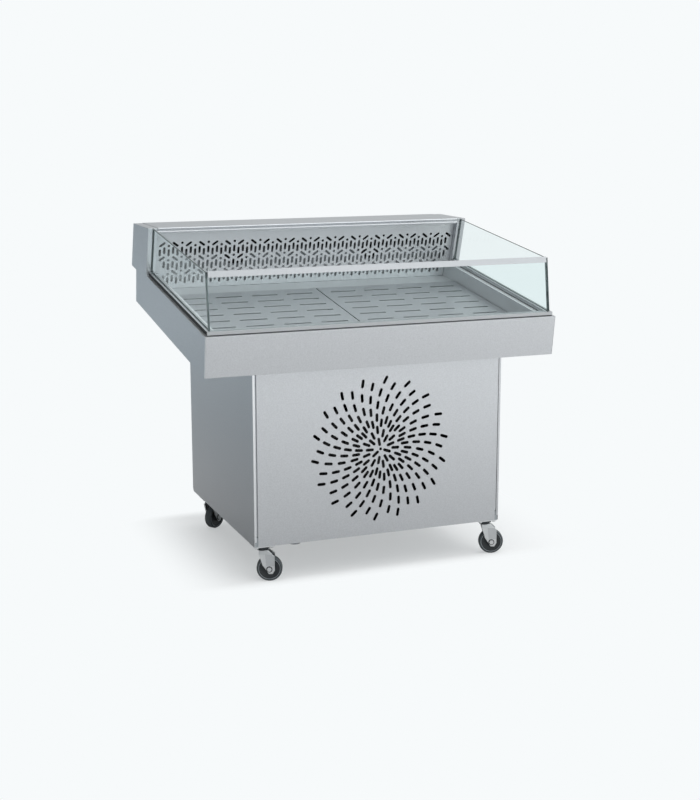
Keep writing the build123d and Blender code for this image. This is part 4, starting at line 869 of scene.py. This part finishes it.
# Metal mirrors a floor with painted shade, darker towards the case and towards the left
away = add_node(
    floor_tree,
    "ShaderNodeVectorMath",
    {0: floor_place.outputs["Object"], 1: floor_place.outputs["Object"]},
    operation="DOT_PRODUCT",
)
shade_away = add_node(
    floor_tree,
    "ShaderNodeMapRange",
    {
        "Value": away.outputs["Value"],
        "From Min": NEAR_SQUARED,
        "From Max": FAR_SQUARED,
        "To Min": NEAR_SHADE,
        "To Max": FAR_SHADE,
    },
)
to_right = add_node(
    floor_tree,
    "ShaderNodeMapRange",
    {"Value": floor_xyz.outputs["X"], "From Min": LEFT_SHADE_X, "From Max": RIGHT_SHADE_X},
)
side_painted_shade = add_node(
    floor_tree,
    "ShaderNodeMix",
    {"Factor": to_right.outputs["Result"], MIX_A: linear(LEFT_PAINTED_SHADE), MIX_B: linear(RIGHT_PAINTED_SHADE)},
    data_type="RGBA",
)
mirrored_painted_shade = add_node(
    floor_tree,
    "ShaderNodeVectorMath",
    {0: side_painted_shade.outputs[MIX_RESULT], "Scale": shade_away.outputs["Result"]},
    operation="SCALE",
)
floor_colour = add_node(
    floor_tree,
    "ShaderNodeMix",
    {
        "Factor": floor_rays.outputs["Is Glossy Ray"],
        MIX_A: linear(FLOOR_PALE),
        MIX_B: mirrored_painted_shade.outputs["Vector"],
    },
    data_type="RGBA",
)
floor_tree.links.new(floor_colour.outputs[MIX_RESULT], floor_shader.inputs["Base Color"])
# Distance from the edge of the shadow, counted as nothing inside it
from_middle = add_node(
    floor_tree,
    "ShaderNodeVectorMath",
    {0: floor_place.outputs["Object"], 1: SHADOW_MIDDLE},
    operation="SUBTRACT",
)
aside = add_node(
    floor_tree, "ShaderNodeVectorMath", {0: from_middle.outputs["Vector"]}, operation="ABSOLUTE"
)
beyond = add_node(
    floor_tree, "ShaderNodeVectorMath", {0: aside.outputs["Vector"], 1: SHADOW_HALF}, operation="SUBTRACT"
)
outside = add_node(
    floor_tree, "ShaderNodeVectorMath", {0: beyond.outputs["Vector"], 1: (0, 0, 0)}, operation="MAXIMUM"
)
sharper = add_node(
    floor_tree,
    "ShaderNodeVectorMath",
    {0: outside.outputs["Vector"], 1: SHADOW_EDGE},
    operation="MULTIPLY",
)
off_shadow = add_node(
    floor_tree, "ShaderNodeVectorMath", {0: sharper.outputs["Vector"]}, operation="LENGTH"
)
fade = add_node(
    floor_tree,
    "ShaderNodeMapRange",
    {
        "Value": off_shadow.outputs["Value"],
        "From Min": 0.0,
        "From Max": SHADOW_FADE,
        "To Min": SHADOW_WHITE,
    },
    interpolation_type="SMOOTHSTEP",
)
white = add_node(floor_tree, "ShaderNodeEmission", {"Color": linear(SURROUND), "Strength": 1.0})
# Glass mirrors the white surround that the camera sees
plain_view = add_node(
    floor_tree,
    "ShaderNodeMath",
    {0: floor_rays.outputs["Is Camera Ray"], 1: floor_rays.outputs["Is Singular Ray"]},
    operation="MAXIMUM",
)
white_share = add_node(
    floor_tree,
    "ShaderNodeMath",
    {0: fade.outputs["Result"], 1: plain_view.outputs["Value"]},
    operation="MULTIPLY",
)
ground = add_node(
    floor_tree,
    "ShaderNodeMixShader",
    {0: white_share.outputs["Value"], 1: floor_shader.outputs["BSDF"], 2: white.outputs["Emission"]},
)
floor_tree.links.new(ground.outputs["Shader"], floor_tree.nodes["Material Output"].inputs["Surface"])
dress(floor, floor_paint)


def soft_light(name, place, target, size, watts):
    """Square soft box aimed at a point."""
    lamp = bpy.data.lights.new(name, "AREA")
    lamp.size = size
    lamp.energy = watts
    obj = bpy.data.objects.new(name, lamp)
    obj.location = place
    obj.rotation_euler = (Vector(target) - Vector(place)).to_track_quat("-Z", "Y").to_euler()
    bpy.context.scene.collection.objects.link(obj)


CASE_MIDDLE = (0, 0, 0.6)
soft_light("overhead", place=(0.7, -0.4, 4.2), target=CASE_MIDDLE, size=7.0, watts=165)
soft_light("front_right", place=(2.6, -4.2, 2.8), target=CASE_MIDDLE, size=4.0, watts=9)

# Surround as metal mirrors it and as it lights the case: it dims from right to left and towards the back
LEFT_X, RIGHT_X = -0.6, 0.3
LEFT_LIGHT = 0.3
BEHIND_Y = 0.7
BEHIND_LIGHT = 0.58
world = bpy.data.worlds.new("studio")
bpy.context.scene.world = world
world.use_nodes = True
sky = world.node_tree
sky_place = add_node(sky, "ShaderNodeTexCoord")
sky_xyz = add_node(sky, "ShaderNodeSeparateXYZ", {"Vector": sky_place.outputs["Generated"]})
sideways = add_node(
    sky,
    "ShaderNodeMapRange",
    {
        "Value": sky_xyz.outputs["X"],
        "From Min": LEFT_X,
        "From Max": RIGHT_X,
        "To Min": LEFT_LIGHT,
        "To Max": 1.0,
    },
)
behind = add_node(
    sky,
    "ShaderNodeMapRange",
    {
        "Value": sky_xyz.outputs["Y"],
        "From Min": 0.0,
        "From Max": BEHIND_Y,
        "To Min": 1.0,
        "To Max": BEHIND_LIGHT,
    },
)
around = add_node(
    sky,
    "ShaderNodeMath",
    {0: sideways.outputs["Result"], 1: behind.outputs["Result"]},
    operation="MULTIPLY",
)
sky_rays = add_node(sky, "ShaderNodeLightPath")
seen = add_node(
    sky,
    "ShaderNodeMath",
    {0: sky_rays.outputs["Is Camera Ray"], 1: sky_rays.outputs["Is Singular Ray"]},
    operation="MAXIMUM",
)
strength = add_node(
    sky,
    "ShaderNodeMix",
    {"Factor": seen.outputs["Value"], 2: around.outputs["Value"], 3: 1.0},
    data_type="FLOAT",
)
background = sky.nodes["Background"]
background.inputs["Color"].default_value = linear(SURROUND)
sky.links.new(strength.outputs[0], background.inputs["Strength"])

# Camera, as in the photograph: place, heading to the right, dip and focal length
EYE = (-1671.6 * MM, -4400.4 * MM, 1449.7 * MM)
HEADING = radians(21.42)
DIP = radians(11.77)
PHOTO_H = 800
FOCAL_PX = 1427.2
SENSOR = 36
lens = bpy.data.cameras.new("photo_camera")
lens.sensor_fit = "VERTICAL"
lens.sensor_height = SENSOR
lens.lens = FOCAL_PX * SENSOR / PHOTO_H
camera = bpy.data.objects.new("photo_camera", lens)
camera.location = EYE
camera.rotation_euler = (pi / 2 - DIP, 0, -HEADING)
bpy.context.scene.collection.objects.link(camera)
bpy.context.scene.camera = camera
bpy.context.scene.view_settings.view_transform = "Standard"
